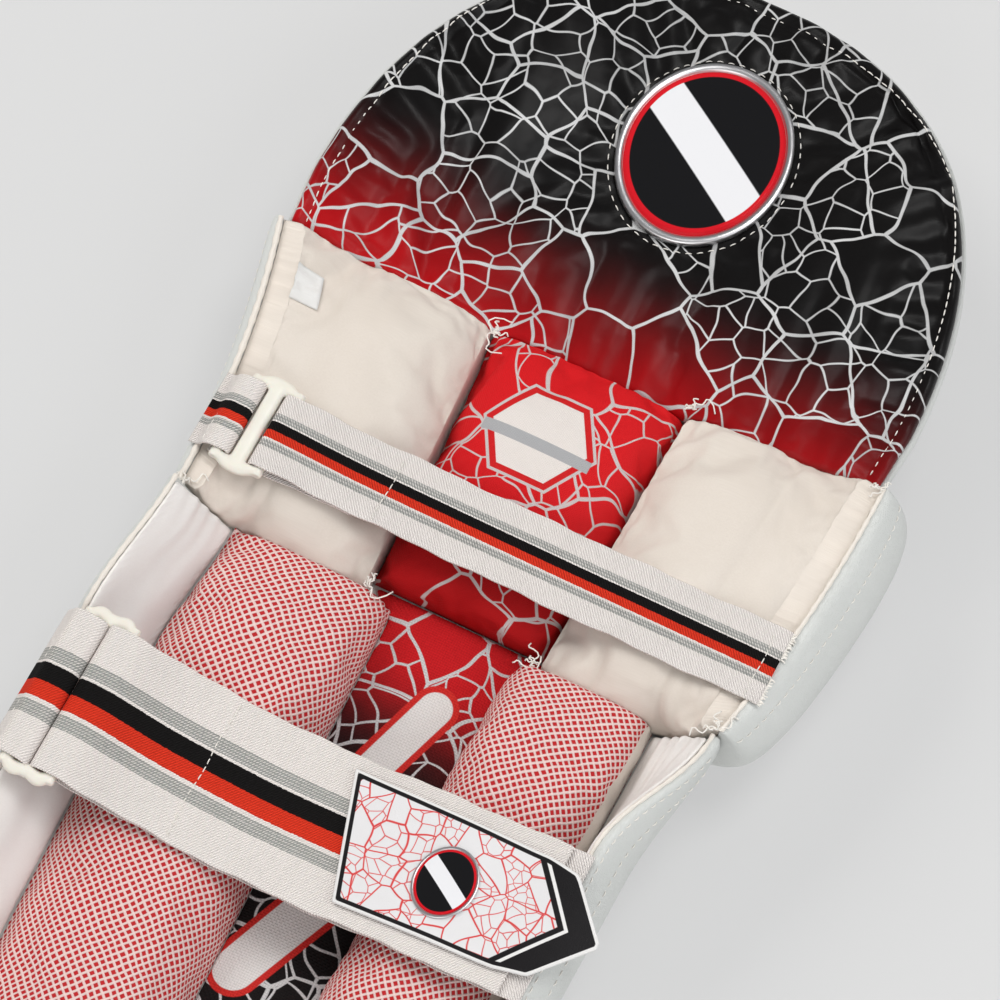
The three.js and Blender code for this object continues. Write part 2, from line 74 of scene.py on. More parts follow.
# Each light is a square that faces the middle of the view; glossy faces mirror all but the broad one.
for name, place, width, power, colour, mirrored in (
    ("left_light", (-2.6, 1.2, 2.4), 2.2, 86, (1.0, 0.985, 0.96), False),
    ("top_light", (0.55, 0.75, 2.5), 0.9, 20, (1.0, 0.995, 0.985), True),
    ("right_light", (1.9, 0.1, 1.4), 1.6, 20, (0.97, 0.985, 1.0), True),
    ("front_light", (0.3, -2.0, 1.3), 1.8, 21, (1.0, 0.995, 0.985), True),
):
    lamp = bpy.data.lights.new(name, "AREA")
    lamp.size = width
    lamp.energy = power
    lamp.color = colour
    holder = bpy.data.objects.new(name, lamp)
    holder.location = place
    holder.rotation_euler = (Vector(place) - VIEW_AIM).to_track_quat("Z", "Y").to_euler()
    holder.visible_glossy = mirrored
    scene.collection.objects.link(holder)


def add_node(tree, kind, *values, output=0, **settings):
    """Adds a shader node. Settings are its properties; values are its inputs in order, linked if sockets."""
    made = tree.nodes.new("ShaderNode" + kind)
    for label, value in settings.items():
        setattr(made, label, value)
    for socket, value in zip(made.inputs, values):
        if isinstance(value, bpy.types.NodeSocket):
            tree.links.new(value, socket)
        elif value is not None:
            socket.default_value = value
    return made.outputs[output]


def maths(tree, operation, first, second=None, third=None):
    """A Math node: `operation` on one, two or three values."""
    return add_node(tree, "Math", first, second, third, operation=operation)


def tint(tree, share, first, second):
    """Two colours mixed: the first where share is 0, the second where it is 1."""
    unused = [None] * 5
    return add_node(tree, "Mix", share, *unused, first, second, output=2, data_type="RGBA")


def ramp(tree, value, low, high, first=0.0, last=1.0):
    """A smooth step of value, from `first` at low to `last` at high."""
    return add_node(tree, "MapRange", value, low, high, first, last, interpolation_type="SMOOTHSTEP")


def within(tree, distance, reach, soft):
    """1 where a distance is under reach and 0 beyond it, with an edge `soft` wide to each side."""
    return ramp(tree, distance, reach - soft, reach + soft, 1.0, 0.0)


def ridges(tree, value, rate):
    """|sin(value times rate)|: rounded ridges with sharp valleys between them."""
    return maths(tree, "ABSOLUTE", maths(tree, "SINE", maths(tree, "MULTIPLY", value, rate)))


def noise(tree, place, scale, detail=3.0):
    """Cloudy noise, 0 to 1, with `scale` waves to the millimetre."""
    return add_node(tree, "TexNoise", place, None, scale, detail)


def place_on_object(tree):
    """Object coordinates in millimetres."""
    place = add_node(tree, "TexCoord", output=3)
    return add_node(tree, "VectorMath", place, None, None, 1000.0, operation="SCALE")


def start_finish(name):
    """A new material and its node tree."""
    material = bpy.data.materials.new(name)
    material.use_nodes = True
    return material, material.node_tree


MM = 0.001  # every size in this file is in millimetres and becomes metres as its mesh is made


def end_finish(material, colour, roughness, height, relief, **plain):
    """Wires colour, roughness and a bump `relief` mm high to the shader; `plain` sets its other sockets."""
    tree = material.node_tree
    shader = tree.nodes["Principled BSDF"]
    tree.links.new(colour, shader.inputs["Base Color"])
    tree.links.new(roughness, shader.inputs["Roughness"])
    bump = tree.nodes.new("ShaderNodeBump")
    bump.inputs["Distance"].default_value = relief * MM
    tree.links.new(height, bump.inputs["Height"])
    tree.links.new(bump.outputs["Normal"], shader.inputs["Normal"])
    for label, value in plain.items():
        shader.inputs[label.replace("_", " ")].default_value = value
    return material


def floor_paint():
    """Matt pale floor with faint clouds, lit from below like a light table, so that shadows stay faint."""
    material, tree = start_finish("floor_paint")
    clouds = noise(tree, place_on_object(tree), 0.004)
    colour = tint(tree, clouds, (0.29, 0.29, 0.29, 1), (0.31, 0.31, 0.31, 1))
    glow = {"Emission_Color": (1, 1, 1, 1), "Emission_Strength": 0.38}
    return end_finish(material, colour, ramp(tree, clouds, 0, 1, 0.8, 0.9), clouds, 0.01, **glow)


def piece(name, points, faces, finish, cloth=None):
    """A smooth mesh at the origin. Faces are arrays with a row for each face, one array for each number of
    corners; `cloth` is an attribute for the finish: two distances over the surface and a third value."""
    mesh = bpy.data.meshes.new(name)
    corner_places = [points[f] for f in faces]
    spins = [np.cross(c, np.roll(c, -1, axis=1)).sum(axis=1) for c in corner_places]
    volume = sum((c.mean(axis=1) * s).sum() for c, s in zip(corner_places, spins))
    if volume < 0:
        faces = [f[:, ::-1] for f in faces]
    sizes = np.concatenate([np.full(len(f), f.shape[1]) for f in faces])
    corners = np.concatenate([f.ravel() for f in faces])
    mesh.vertices.add(len(points))
    mesh.vertices.foreach_set("co", (points * MM).astype(np.float32).ravel())
    mesh.loops.add(len(corners))
    mesh.loops.foreach_set("vertex_index", corners.astype(np.int32))
    mesh.polygons.add(len(sizes))
    mesh.polygons.foreach_set("loop_start", (np.cumsum(sizes) - sizes).astype(np.int32))
    mesh.polygons.foreach_set("use_smooth", np.ones(len(sizes), dtype=bool))
    if cloth is not None:
        layer = mesh.attributes.new("cloth", "FLOAT_VECTOR", "POINT")
        layer.data.foreach_set("vector", cloth.astype(np.float32).ravel())
    mesh.update(calc_edges=True)
    mesh.validate()
    mesh.materials.append(finish)
    made = bpy.data.objects.new(name, mesh)
    scene.collection.objects.link(made)
    return made


FLOOR_HALF = 9000.0
floor_corners = FLOOR_HALF * np.array([[-1, -1, 0], [1, -1, 0], [1, 1, 0], [-1, 1, 0]], dtype=float)
piece("floor", floor_corners, [np.array([[0, 1, 2, 3]])], floor_paint())

# The shin's front is white leatherette over canes and foam, sewn down in seven ribs, and lies on the floor.
# Its sides are padded wings that wrap the calf: the left one lies open, the right one is pulled in.
CLEARANCE = 0.4
SIDES = (("left", -1), ("right", 1))  # each side's name and the sign of its x


def box_mm(node):
    """Lowest and highest corner of a node of the frame."""
    low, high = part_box(node)
    return np.array(low) / MM, np.array(high) / MM


def middle_and_half(node):
    """Middle of a node's box, and half its size."""
    low, high = box_mm(node)
    return (low + high) / 2, (high - low) / 2


SHIN_Y = box_mm("knee_roll_lower")[0][1] - CLEARANCE / 2
FLAP_Y = box_mm("flap_face")[0][1] - CLEARANCE
TOE_Y = box_mm("shin_wing_left")[0][1]
SHIN_FLAT = {-1: 70, 1: 77}
SHIN_ARC = {-1: 94, 1: 70}
SHIN_GIRTH = {sign: SHIN_FLAT[sign] + SHIN_ARC[sign] for sign in (-1, 1)}
SHIN_FACE_HALF = 91.0
SHIN_RIBS = 7
SHIN_WING = (13, 5, 5)  # thickness at the root and the rim, and the swell between them
TOE_ARCH = 46.0
TOE_SKIN = 24.0
KNEE_SKIN = 36.0


def mix(first, second, share):
    return first + (second - first) * share


def smooth(value, low, high):
    """0 below low, 1 above high, and a smooth rise between them."""
    share = np.clip((value - low) / (high - low), 0, 1)
    return share * share * (3 - 2 * share)


def crown(share, power):
    """1 in the middle of 0..1 and 0 at both ends, as a quarter of a superellipse on each side."""
    return np.clip(1 - np.abs(2 * share - 1) ** power, 0, 1) ** (1 / power)


def by_side(left, values):
    """The left side's value where left is true, and the right side's elsewhere."""
    return np.where(left, values[-1], values[1])


def shin_section(left, y):
    """The shin's channel at height y: flat half width, arc length, turn of the arc, taper and skin height.
    The right wing turns in below the knee and opens again towards the toe. Angles are in degrees until the
    turn is made."""
    below = SHIN_Y - y
    share = np.clip(below / (SHIN_Y - TOE_Y), 0, 1)
    right_turn = 75 + 43 * smooth(below, 0, 75) - 30 * smooth(below, 200, 416)
    turn = np.radians(np.where(left, 63, right_turn))
    waist = np.where(left, 0.05 * smooth(y, SHIN_Y - 70, SHIN_Y), 0)
    taper = 1 - 0.16 * share**2 - waist
    skin = TOE_SKIN + (KNEE_SKIN - TOE_SKIN) * (1 - share) ** 2
    return by_side(left, SHIN_FLAT), by_side(left, SHIN_ARC), turn, taper, skin


def on_skin(section, across, y, out):
    """A place on the channel: straight to the flat's edge, round the arc, and `out` square to the skin."""
    left = across < 0
    flat, arc, turn, taper, skin = section(left, y)
    radius = arc / turn
    distance = np.abs(across)
    angle = np.clip((distance - flat) / radius, 0, turn)
    x = np.minimum(distance, flat) + (radius - out) * np.sin(angle)
    z = skin + radius - (radius - out) * np.cos(angle)
    return np.stack(np.broadcast_arrays(np.where(left, -1, 1) * x * taper, y, z), axis=-1)


def shin_height(across, v):
    """Height along the shin: v runs from 0 on the arched toe line to 1 at the knee."""
    share = across / by_side(across < 0, SHIN_GIRTH)
    return mix(TOE_Y + TOE_ARCH * (1 - share**2), SHIN_Y - CLEARANCE, v)


def measured(grid):
    """Distances over a surface from its middle, along its rows and its columns, and from its nearest edge."""
    along = np.pad(np.linalg.norm(np.diff(grid, axis=1), axis=2), ((0, 0), (1, 0))).cumsum(axis=1)
    up = np.pad(np.linalg.norm(np.diff(grid, axis=0), axis=2), ((1, 0), (0, 0))).cumsum(axis=0)
    row_middle = along[:, grid.shape[1] // 2, None]
    column_middle = up[None, grid.shape[0] // 2]
    edge = np.minimum(np.minimum(along, along[:, -1:] - along), np.minimum(up, up[-1:] - up))
    return np.stack([along - row_middle, up - column_middle, edge], axis=-1)


def shell(name, under, over, finish, cloth=None):
    """A closed piece between two surfaces that share a grid of rows and columns, joined round their edges."""
    rows, columns = over.shape[:2]
    index = np.arange(rows * columns).reshape(rows, columns)
    a, b, c, d = (part.ravel() for part in (index[:-1, :-1], index[:-1, 1:], index[1:, 1:], index[1:, :-1]))
    layer = rows * columns
    ring = np.concatenate([index[0, :-1], index[:-1, -1], index[-1, :0:-1], index[:0:-1, 0]])
    after = np.roll(ring, -1)
    top = np.stack([a, b, c, d], axis=1) + layer
    bottom = np.stack([a, d, c, b], axis=1)
    sides = np.stack([ring, after, after + layer, ring + layer], axis=1)
    faces = np.concatenate([top, bottom, sides])
    points = np.concatenate([under.reshape(-1, 3), over.reshape(-1, 3)])
    marks = (measured(over) if cloth is None else cloth).reshape(-1, 3)
    return piece(name, points, [faces], finish, np.concatenate([marks, marks]))


def rounded(made, levels=1):
    """Subdivides a piece, which rounds its edges."""
    subdivision = made.modifiers.new("rounded", "SUBSURF")
    subdivision.levels = levels
    subdivision.render_levels = levels
    return made


def stands_for(made, node):
    """The piece rides on the pad and takes the place of a node of the frame."""
    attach(made, "root")
    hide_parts(node)
    return made


def trim(made):
    """The piece rides on the pad and takes the place of no node."""
    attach(made, "root")


def start_group(name, inputs, outputs):
    """A shader node group with named sockets: inputs are (name, kind, value), outputs are names of values."""
    group = bpy.data.node_groups.new(name, "ShaderNodeTree")
    for label, kind, value in inputs:
        socket = group.interface.new_socket(label, in_out="INPUT", socket_type="NodeSocket" + kind)
        socket.default_value = value
    for label in outputs:
        group.interface.new_socket(label, in_out="OUTPUT", socket_type="NodeSocketFloat")
    given = group.nodes.new("NodeGroupInput").outputs
    wanted = group.nodes.new("NodeGroupOutput").inputs
    return group, given, wanted


def use_group(tree, group, *values):
    """Places a group in a tree with its inputs in order, and returns its outputs."""
    made = tree.nodes.new("ShaderNodeGroup")
    made.node_tree = group
    for socket, value in zip(made.inputs, values):
        if isinstance(value, bpy.types.NodeSocket):
            tree.links.new(value, socket)
        else:
            socket.default_value = value
    return made.outputs


def grain_group():
    """Leather grain: cells about a millimetre across with sunk edges, and slow creases over them."""
    group, given, wanted = start_group(
        "leather_grain", [("Place", "Vector", (0, 0, 0)), ("Cell", "Float", 1.0)], ["Height", "Clouds"]
    )
    scale = maths(group, "DIVIDE", 1.0, given["Cell"])
    cells = add_node(group, "TexVoronoi", given["Place"], None, scale, feature="DISTANCE_TO_EDGE")
    grain = ramp(group, cells, 0.0, 0.25)
    clouds = noise(group, given["Place"], 0.03)
    creases = noise(group, given["Place"], 0.12, 4.0)
    height = maths(group, "ADD", maths(group, "MULTIPLY", grain, 0.25), creases)
    group.links.new(height, wanted["Height"])
    group.links.new(clouds, wanted["Clouds"])
    return group


leather_grain = grain_group()


def leatherette_finish():
    """Cool white coated cloth with a fine grain, a satin gloss and slightly greyer clouds."""
    material, tree = start_finish("leatherette")
    place = place_on_object(tree)
    grain = use_group(tree, leather_grain, place, 1.1)
    colour = tint(tree, grain["Clouds"], (0.64, 0.65, 0.63, 1), (0.585, 0.60, 0.58, 1))
    roughness = ramp(tree, grain["Clouds"], 0.3, 0.7, 0.36, 0.48)
    return end_finish(material, colour, roughness, grain["Height"], 0.35, Specular_IOR_Level=0.45)


leatherette = leatherette_finish()


def rib_depth(across, pitch, groove, crest):
    """Depth of a face that is sewn down in channels: |cos| to a power, from each groove to the crest."""
    return mix(groove, crest, np.abs(np.cos(np.pi * across / pitch)) ** 0.7)


def pressed(front):
    """A front that is pressed flat where it lies on the floor."""
    front[..., 2] = np.maximum(front[..., 2], 0)
    return front


rib_columns = np.linspace(-SHIN_FACE_HALF, SHIN_FACE_HALF, SHIN_RIBS * 12 + 1)[None, :]
face_heights = shin_height(rib_columns, np.linspace(0, 1, 61)[:, None])
shin_depth = rib_depth(rib_columns, pitch=2 * SHIN_FACE_HALF / SHIN_RIBS, groove=13, crest=25)
shin_front = pressed(on_skin(shin_section, rib_columns, face_heights, -shin_depth))
shin_back = on_skin(shin_section, rib_columns, face_heights, 0.0)
shin_ribs = rounded(shell("shin_ribs", shin_front, shin_back, leatherette))
stands_for(shin_ribs, "shin_face")


def wing_depth(share, root, rim, swell):
    """Thickness of a wing from its root at share 0 to its rim at 1, with a padded swell between."""
    return mix(root, rim, share) + swell * np.sin(np.pi * share)


def shin_wing(sign):
    """Inner and outer surfaces of a shin wing, from the front's edge to the rim."""
    share = np.linspace(0, 1, 25)[None, :]
    across = sign * mix(SHIN_FACE_HALF + CLEARANCE, SHIN_GIRTH[sign], share)
    y = shin_height(across, np.linspace(0, 1, 91)[:, None])
    outside = on_skin(shin_section, across, y, -wing_depth(share, *SHIN_WING))
    return outside, on_skin(shin_section, across, y, 0.0)


for side, sign in SIDES:
    wing = shell("shin_wing_pad_" + side, *shin_wing(sign), leatherette)
    stands_for(rounded(wing), "shin_wing_" + side)

# The wings' insides are lined with smooth off-white cloth, sewn at the rim and at the foot of the bolsters,
# and left a little slack, so that it lies in long shallow folds.
CLOTH = 1.8
BOLSTERS = {-1: {"outer": 117.0, "height": 35.0}, 1: {"outer": 101.0, "height": 38.0}}
RIM_INSET = 0.5
CRUMPLE = {-1: 1.3, 1: 2.8}


def skin_distance(sign, x, y):
    """Distance round the shin's section at which the skin has the sideways place x."""
    flat, arc, turn, _, _ = shin_section(np.full(np.shape(y), sign < 0), y)
    radius = arc / turn
    return np.where(x < flat, x, flat + radius * np.arcsin(np.clip((x - flat) / radius, -1, 1)))


def tree_axes(tree, vector):
    """The three parts of a vector."""
    made = tree.nodes.new("ShaderNodeSeparateXYZ")
    tree.links.new(vector, made.inputs[0])
    return made.outputs


def weave_group():
    """Plain weave: rounded warp and weft threads, each on top in every other crossing."""
    group, given, wanted = start_group(
        "plain_weave", [("Place", "Vector", (0, 0, 0)), ("Pitch", "Float", 0.6)], ["Height", "Slub"]
    )
    axes = tree_axes(group, given["Place"])
    turns = [maths(group, "DIVIDE", axis, given["Pitch"]) for axis in axes[:2]]
    threads = [ridges(group, turn, np.pi) for turn in turns]
    steps = maths(group, "ADD", *(maths(group, "FLOOR", turn) for turn in turns))
    over = maths(group, "FLOORED_MODULO", steps, 2.0)
    warp = maths(group, "MULTIPLY", threads[0], over)
    weft = maths(group, "MULTIPLY", threads[1], maths(group, "SUBTRACT", 1.0, over))
    group.links.new(maths(group, "ADD", warp, weft), wanted["Height"])
    stretch = add_node(group, "VectorMath", given["Place"], (0.08, 1.3, 1.0), operation="MULTIPLY")
    group.links.new(noise(group, stretch, 1.0, 2.0), wanted["Slub"])
    return group


def place_on_cloth(tree):
    """A piece's own cloth coordinates: two distances over its surface in millimetres, and a third value."""
    return add_node(tree, "Attribute", attribute_name="cloth", output=1)


plain_weave = weave_group()


def cloth_finish(name, light, dark, pitch, relief, sheen):
    """Woven cloth: threads of a fine pitch, uneven slubs, cloudy tone and soft creases near its seams."""
    material, tree = start_finish(name)
    place = place_on_cloth(tree)
    weave = use_group(tree, plain_weave, place, pitch)
    clouds = noise(tree, place, 0.02)
    slubs = maths(tree, "MULTIPLY", weave["Slub"], 0.3)
    tone = maths(tree, "ADD", maths(tree, "MULTIPLY", clouds, 0.7), slubs)
    colour = tint(tree, ramp(tree, tone, 0.3, 0.7), light, dark)
    along = tree_axes(tree, place)
    uneven = maths(tree, "MULTIPLY", noise(tree, place, 0.05), 14.0)
    waves = maths(tree, "SINE", maths(tree, "ADD", maths(tree, "ADD", along[0], along[1]), uneven))
    near = ramp(tree, along[2], 0.0, 6.0, 1.0, 0.0)
    pucker = maths(tree, "MULTIPLY", maths(tree, "MULTIPLY", waves, near), 1.2)
    creases = maths(tree, "MULTIPLY", noise(tree, place, 0.06, 2.0), 2.5)
    height = maths(tree, "ADD", maths(tree, "ADD", weave["Height"], pucker), creases)
    roughness = ramp(tree, weave["Slub"], 0.2, 0.8, 0.8, 0.92)
    soft = {"Sheen_Weight": sheen, "Sheen_Roughness": 0.4, "Specular_IOR_Level": 0.2}
    return end_finish(material, colour, roughness, height, relief, **soft)


lining_cloth = cloth_finish(
    "wing_cloth", (0.93, 0.90, 0.87, 1), (0.88, 0.84, 0.81, 1), pitch=0.45, relief=0.12, sheen=0.1
)


def wing_lining(sign):
    """Under and upper sides of a wing's lining; slack folds run along it and fade at the sewn edges."""
    share = np.linspace(0, 1, 33)[None, :]
    v = np.linspace(0.02, 0.992, 121)[:, None]
    outer = BOLSTERS[sign]["outer"]
    rim = SHIN_GIRTH[sign] - RIM_INSET
    y = shin_height(sign * mix(outer, rim, share), v)
    foot = skin_distance(sign, outer, y) + CLEARANCE + CLOTH
    across = sign * mix(foot, rim, share)
    drift = share * 9 + 1.1 * np.sin(y / 31) + 0.7 * np.sin(y / 13 + 1)
    folds = 0.9 * np.sin(np.pi * share) ** 0.5 * (1 + np.sin(drift))
    slack = np.sin(np.pi * share)
    gathers = CRUMPLE[sign] * np.sin(share * 30 + np.sin(y / 7)) * np.exp((y - SHIN_Y) / 16) * slack
    billow = gathers + 3.4 * slack * (1 + 0.3 * np.sin(y / 23))
    under = on_skin(shin_section, across, y, CLEARANCE)
    return under, on_skin(shin_section, across, y, CLEARANCE + CLOTH + folds + billow)


for side, sign in SIDES:
    under, over = wing_lining(sign)
    lining = rounded(shell("wing_cloth_" + side, under, over, lining_cloth))
    stands_for(lining, "wing_lining_" + side)
    width = np.linalg.norm(np.diff(over, axis=1), axis=2).sum(axis=1).mean()
    length = np.linalg.norm(np.diff(over, axis=0), axis=2).sum(axis=0).mean()

# Between the wings stand two long foam bolsters in white knitted net over red cloth. The right one has a
# plain cream wall on its outer side. They are sewn to the skin along both feet and closed at their ends.
BOLSTER_HEM = 2.0
BOLSTER_ROUND = 4
BOLSTER_END_ROUND = 14
BOLSTER_ENDS = (0.04, 0.997)
STRIP_INNER = 25.0
WALL_COLUMNS = 10


def strip_half(y):
    """Half width of the strip between the bolsters, which widens towards the knee."""
    share = np.clip((SHIN_Y - y) / (SHIN_Y - TOE_Y), 0, 1)
    return STRIP_INNER + 8 * (1 - share) ** 3


def crowned_steps(width, height, power, count):
    """Shares 0..1 of a crowned profile's width, spaced evenly along the profile."""
    share = (1 - np.cos(np.linspace(0, np.pi, 2001))) / 2
    gaps = np.hypot(np.diff(share * width), np.diff(crown(share, power) * height))
    run = np.concatenate([[0], gaps.cumsum()]) / gaps.sum()
    return np.interp(np.linspace(0, 1, count + 1), run, share)


def bolster_surfaces(sign, outer, height):
    """Foot and top of a bolster: a squared crown across it, rising from the skin, and steep ends."""
    share = crowned_steps(outer - STRIP_INNER, height, BOLSTER_ROUND, 46)[None, :]
    step = crowned_steps(SHIN_Y - TOE_Y, height, BOLSTER_END_ROUND, 130)[:, None]
    y = shin_height(sign * mix(STRIP_INNER, outer, share), mix(*BOLSTER_ENDS, step))
    x = mix(strip_half(y) + CLEARANCE, outer, share)
    foot = on_skin(shin_section, sign * skin_distance(sign, x, y), y, CLEARANCE)
    skin = shin_section(True, y)[4]
    dive = 1 - 0.3 * smooth(y, SHIN_Y - 40, SHIN_Y)
    full = (height - BOLSTER_HEM) * crown(share, BOLSTER_ROUND) * crown(step, BOLSTER_END_ROUND)
    rise = BOLSTER_HEM + full * dive
    top = foot.copy()
    top[..., 2] = np.maximum(foot[..., 2] + BOLSTER_HEM, skin + CLEARANCE + rise)
    return foot, top


def net_group():
    """Knitted net: square holes that stand on their corners, with threads between them on both diagonals."""
    group, given, wanted = start_group(
        "knitted_net", [("Place", "Vector", (0, 0, 0)), ("Pitch", "Float", 3.0)], ["Thread", "Height"]
    )
    along, across, _ = tree_axes(group, given["Place"])
    turn = maths(group, "DIVIDE", np.pi / np.sqrt(2), given["Pitch"])
    slants = [maths(group, operation, along, across) for operation in ("ADD", "SUBTRACT")]
    opening = maths(group, "SMOOTH_MIN", *(ridges(group, slant, turn) for slant in slants), 0.25)
    thread = ramp(group, opening, 0.50, 0.62, 1.0, 0.0)
    group.links.new(thread, wanted["Thread"])
    group.links.new(ramp(group, opening, 0.1, 0.7, 1.0, 0.0), wanted["Height"])
    return group


knitted_net = net_group()


def net_finish():
    """White net over red cloth: pale pink threads that stand proud, red in the holes between them."""
    material, tree = start_finish("netting")
    place = place_on_cloth(tree)
    wander = add_node(tree, "TexNoise", place, None, 0.05, 2.0, output=1)
    drift = add_node(tree, "VectorMath", wander, None, None, 2.4, operation="SCALE")
    net = use_group(tree, knitted_net, add_node(tree, "VectorMath", place, drift, operation="ADD"), 2.95)
    clouds = noise(tree, place, 0.015)
    thread = tint(tree, clouds, (0.84, 0.64, 0.61, 1), (0.80, 0.57, 0.54, 1))
    ground = tint(tree, clouds, (0.50, 0.022, 0.024, 1), (0.40, 0.014, 0.018, 1))
    colour = tint(tree, net["Thread"], ground, thread)
    roughness = ramp(tree, net["Thread"], 0, 1, 0.85, 0.7)
    return end_finish(material, colour, roughness, net["Height"], 0.5, Specular_IOR_Level=0.25)


netting = net_finish()
cotton = cloth_finish(
    "cotton", (0.80, 0.73, 0.655, 1), (0.745, 0.67, 0.595, 1), pitch=0.5, relief=0.10, sheen=0.15
)

SIM_FRAMES = 20


def vertices_of(mesh):
    """A mesh's points as an array, in metres."""
    points = np.empty(len(mesh.vertices) * 3, dtype=np.float32)
    mesh.vertices.foreach_get("co", points)
    return points.reshape(-1, 3)


def swell(cover, free, pressure, growth, cap):
    """Blows a sewn cover up as cloth. The cloth is cut larger by the share `growth`, only the points that are
    free move, and a move of any length comes out shorter than cap, as cap times tanh(move / cap)."""
    rest = vertices_of(cover.data)
    sewn = cover.vertex_groups.new(name="sewn")
    sewn.add(np.flatnonzero(~free.ravel()).tolist(), 1.0, "REPLACE")
    cloth = cover.modifiers.new("swell", "CLOTH")
    cloth.settings.vertex_group_mass = sewn.name
    cloth.settings.mass = 0.02
    cloth.settings.quality = 6
    cloth.settings.tension_stiffness = 12
    cloth.settings.compression_stiffness = 12
    cloth.settings.bending_stiffness = 0.3
    cloth.settings.use_pressure = True
    cloth.settings.uniform_pressure_force = pressure
    cloth.settings.shrink_min = -growth
    cloth.settings.effector_weights.gravity = 0
    for number in range(1, SIM_FRAMES + 1):
        scene.frame_set(number)
    moved = vertices_of(cover.evaluated_get(bpy.context.evaluated_depsgraph_get()).data)
    cover.modifiers.remove(cloth)
    cover.vertex_groups.remove(sewn)
    scene.frame_set(1)
    move = moved - rest
    length = np.maximum(np.linalg.norm(move, axis=1, keepdims=True), 1e-9)
    settled = rest + move * (cap * MM * np.tanh(length / (cap * MM)) / length)
    cover.data.vertices.foreach_set("co", settled.astype(np.float32).ravel())
    cover.data.update()


def loose_inside(rows, columns):
    """Which points of a shell may move: those of its upper side that are not on a sewn edge."""
    free = np.zeros((2, rows, columns), dtype=bool)
    free[1, 1:-1, 1:-1] = True
    return free


for side, sign in SIDES:
    foot, top = bolster_surfaces(sign, **BOLSTERS[sign])
    bolster = shell("bolster_net_" + side, foot, top, netting)
    swell(bolster, loose_inside(*top.shape[:2]), pressure=3.0, growth=0.02, cap=4.0)
    if sign > 0:
        bolster.data.materials.append(cotton)
        rows, columns = top.shape[:2]
        column = np.tile(np.arange(columns - 1), rows - 1)
        slots = np.zeros(len(bolster.data.polygons), dtype=np.int32)
        slots[: len(column)] = column >= columns - WALL_COLUMNS
        bolster.data.polygons.foreach_set("material_index", slots)
    stands_for(rounded(bolster), "shin_bolster_" + side)

# Between the bolsters lies a strip of coarse cloth, printed from red at the knee to black with a network of
# silver lines and two pale pills. It is sewn to the skin along both sides and is lightly padded.
STRIP_RISE = 1.6
STRIP_SWELL = 2.4
STRIP_ENDS = (0.04, 1.02)
SILVER = (0.62, 0.62, 0.62, 1)
DULL_SILVER = (0.44, 0.44, 0.44, 1)
PILLS = (((-4, -40), (8, -4), 11.0), ((-16, -150), (3, -106), 13.0))


def network_group():
    """A crackle of lines: edges of wide cells, and in some of the cells the thinner edges of small ones."""
    group, given, wanted = start_group(
        "line_network",
        [("Place", "Vector", (0, 0, 0)), ("Cell", "Float", 32.0), ("Width", "Float", 2.2)],
        ["Line"],
    )
    wander = add_node(group, "TexNoise", given["Place"], None, 0.035, 1.0, output=1)
    drift = add_node(group, "VectorMath", wander, None, None, 14.0, operation="SCALE")
    place = add_node(group, "VectorMath", given["Place"], drift, operation="ADD")
    masks = []
    for size_share, width_share in ((1.0, 1.0), (0.45, 0.6)):
        cell = maths(group, "MULTIPLY", given["Cell"], size_share)
        scale = maths(group, "DIVIDE", 1.0, cell)
        edge = add_node(
            group, "TexVoronoi", place, None, scale, feature="DISTANCE_TO_EDGE", voronoi_dimensions="2D"
        )
        distance = maths(group, "MULTIPLY", edge, cell)
        half = maths(group, "MULTIPLY", given["Width"], 0.5 * width_share)
        excess = maths(group, "SUBTRACT", distance, half)
        masks.append(within(group, excess, 0.0, 0.2))
    wide = maths(group, "DIVIDE", 1.0, given["Cell"])
    lot = add_node(group, "TexVoronoi", place, None, wide, output=1, voronoi_dimensions="2D")
    chosen = maths(group, "GREATER_THAN", tree_axes(group, lot)[0], 0.35)
    fine = maths(group, "MULTIPLY", masks[1], chosen)
    group.links.new(maths(group, "MAXIMUM", masks[0], fine), wanted["Line"])
    return group


line_network = network_group()


def fade(tree, place, first, last, near, far, slope):
    """A ground that goes from the colour `near` at height first to `far` at last, with a cloudy edge."""
    axes = tree_axes(tree, place)
    clouds = maths(tree, "MULTIPLY_ADD", noise(tree, place, 0.02), 26.0, -13.0)
    height = maths(tree, "MULTIPLY_ADD", axes[0], slope, axes[1])
    left_over = ramp(tree, maths(tree, "ADD", height, clouds), first, last, 1.0, 0.0)
    return tint(tree, maths(tree, "POWER", left_over, 2.2), far, near)


def pill_distance(tree, place, start, end):
    """Distance in millimetres from the straight line between two places."""
    axes = tree_axes(tree, place)
    run = np.subtract(end, start)
    offset = [maths(tree, "SUBTRACT", axes[i], float(start[i])) for i in range(2)]
    shares = [maths(tree, "MULTIPLY", offset[i], run[i] / run.dot(run)) for i in range(2)]
    held = add_node(tree, "Clamp", maths(tree, "ADD", *shares), 0.0, 1.0)
    left = [maths(tree, "MULTIPLY_ADD", held, -float(run[i]), offset[i]) for i in range(2)]
    squares = maths(tree, "MULTIPLY_ADD", left[0], left[0], maths(tree, "MULTIPLY", left[1], left[1]))
    return maths(tree, "SQRT", squares)


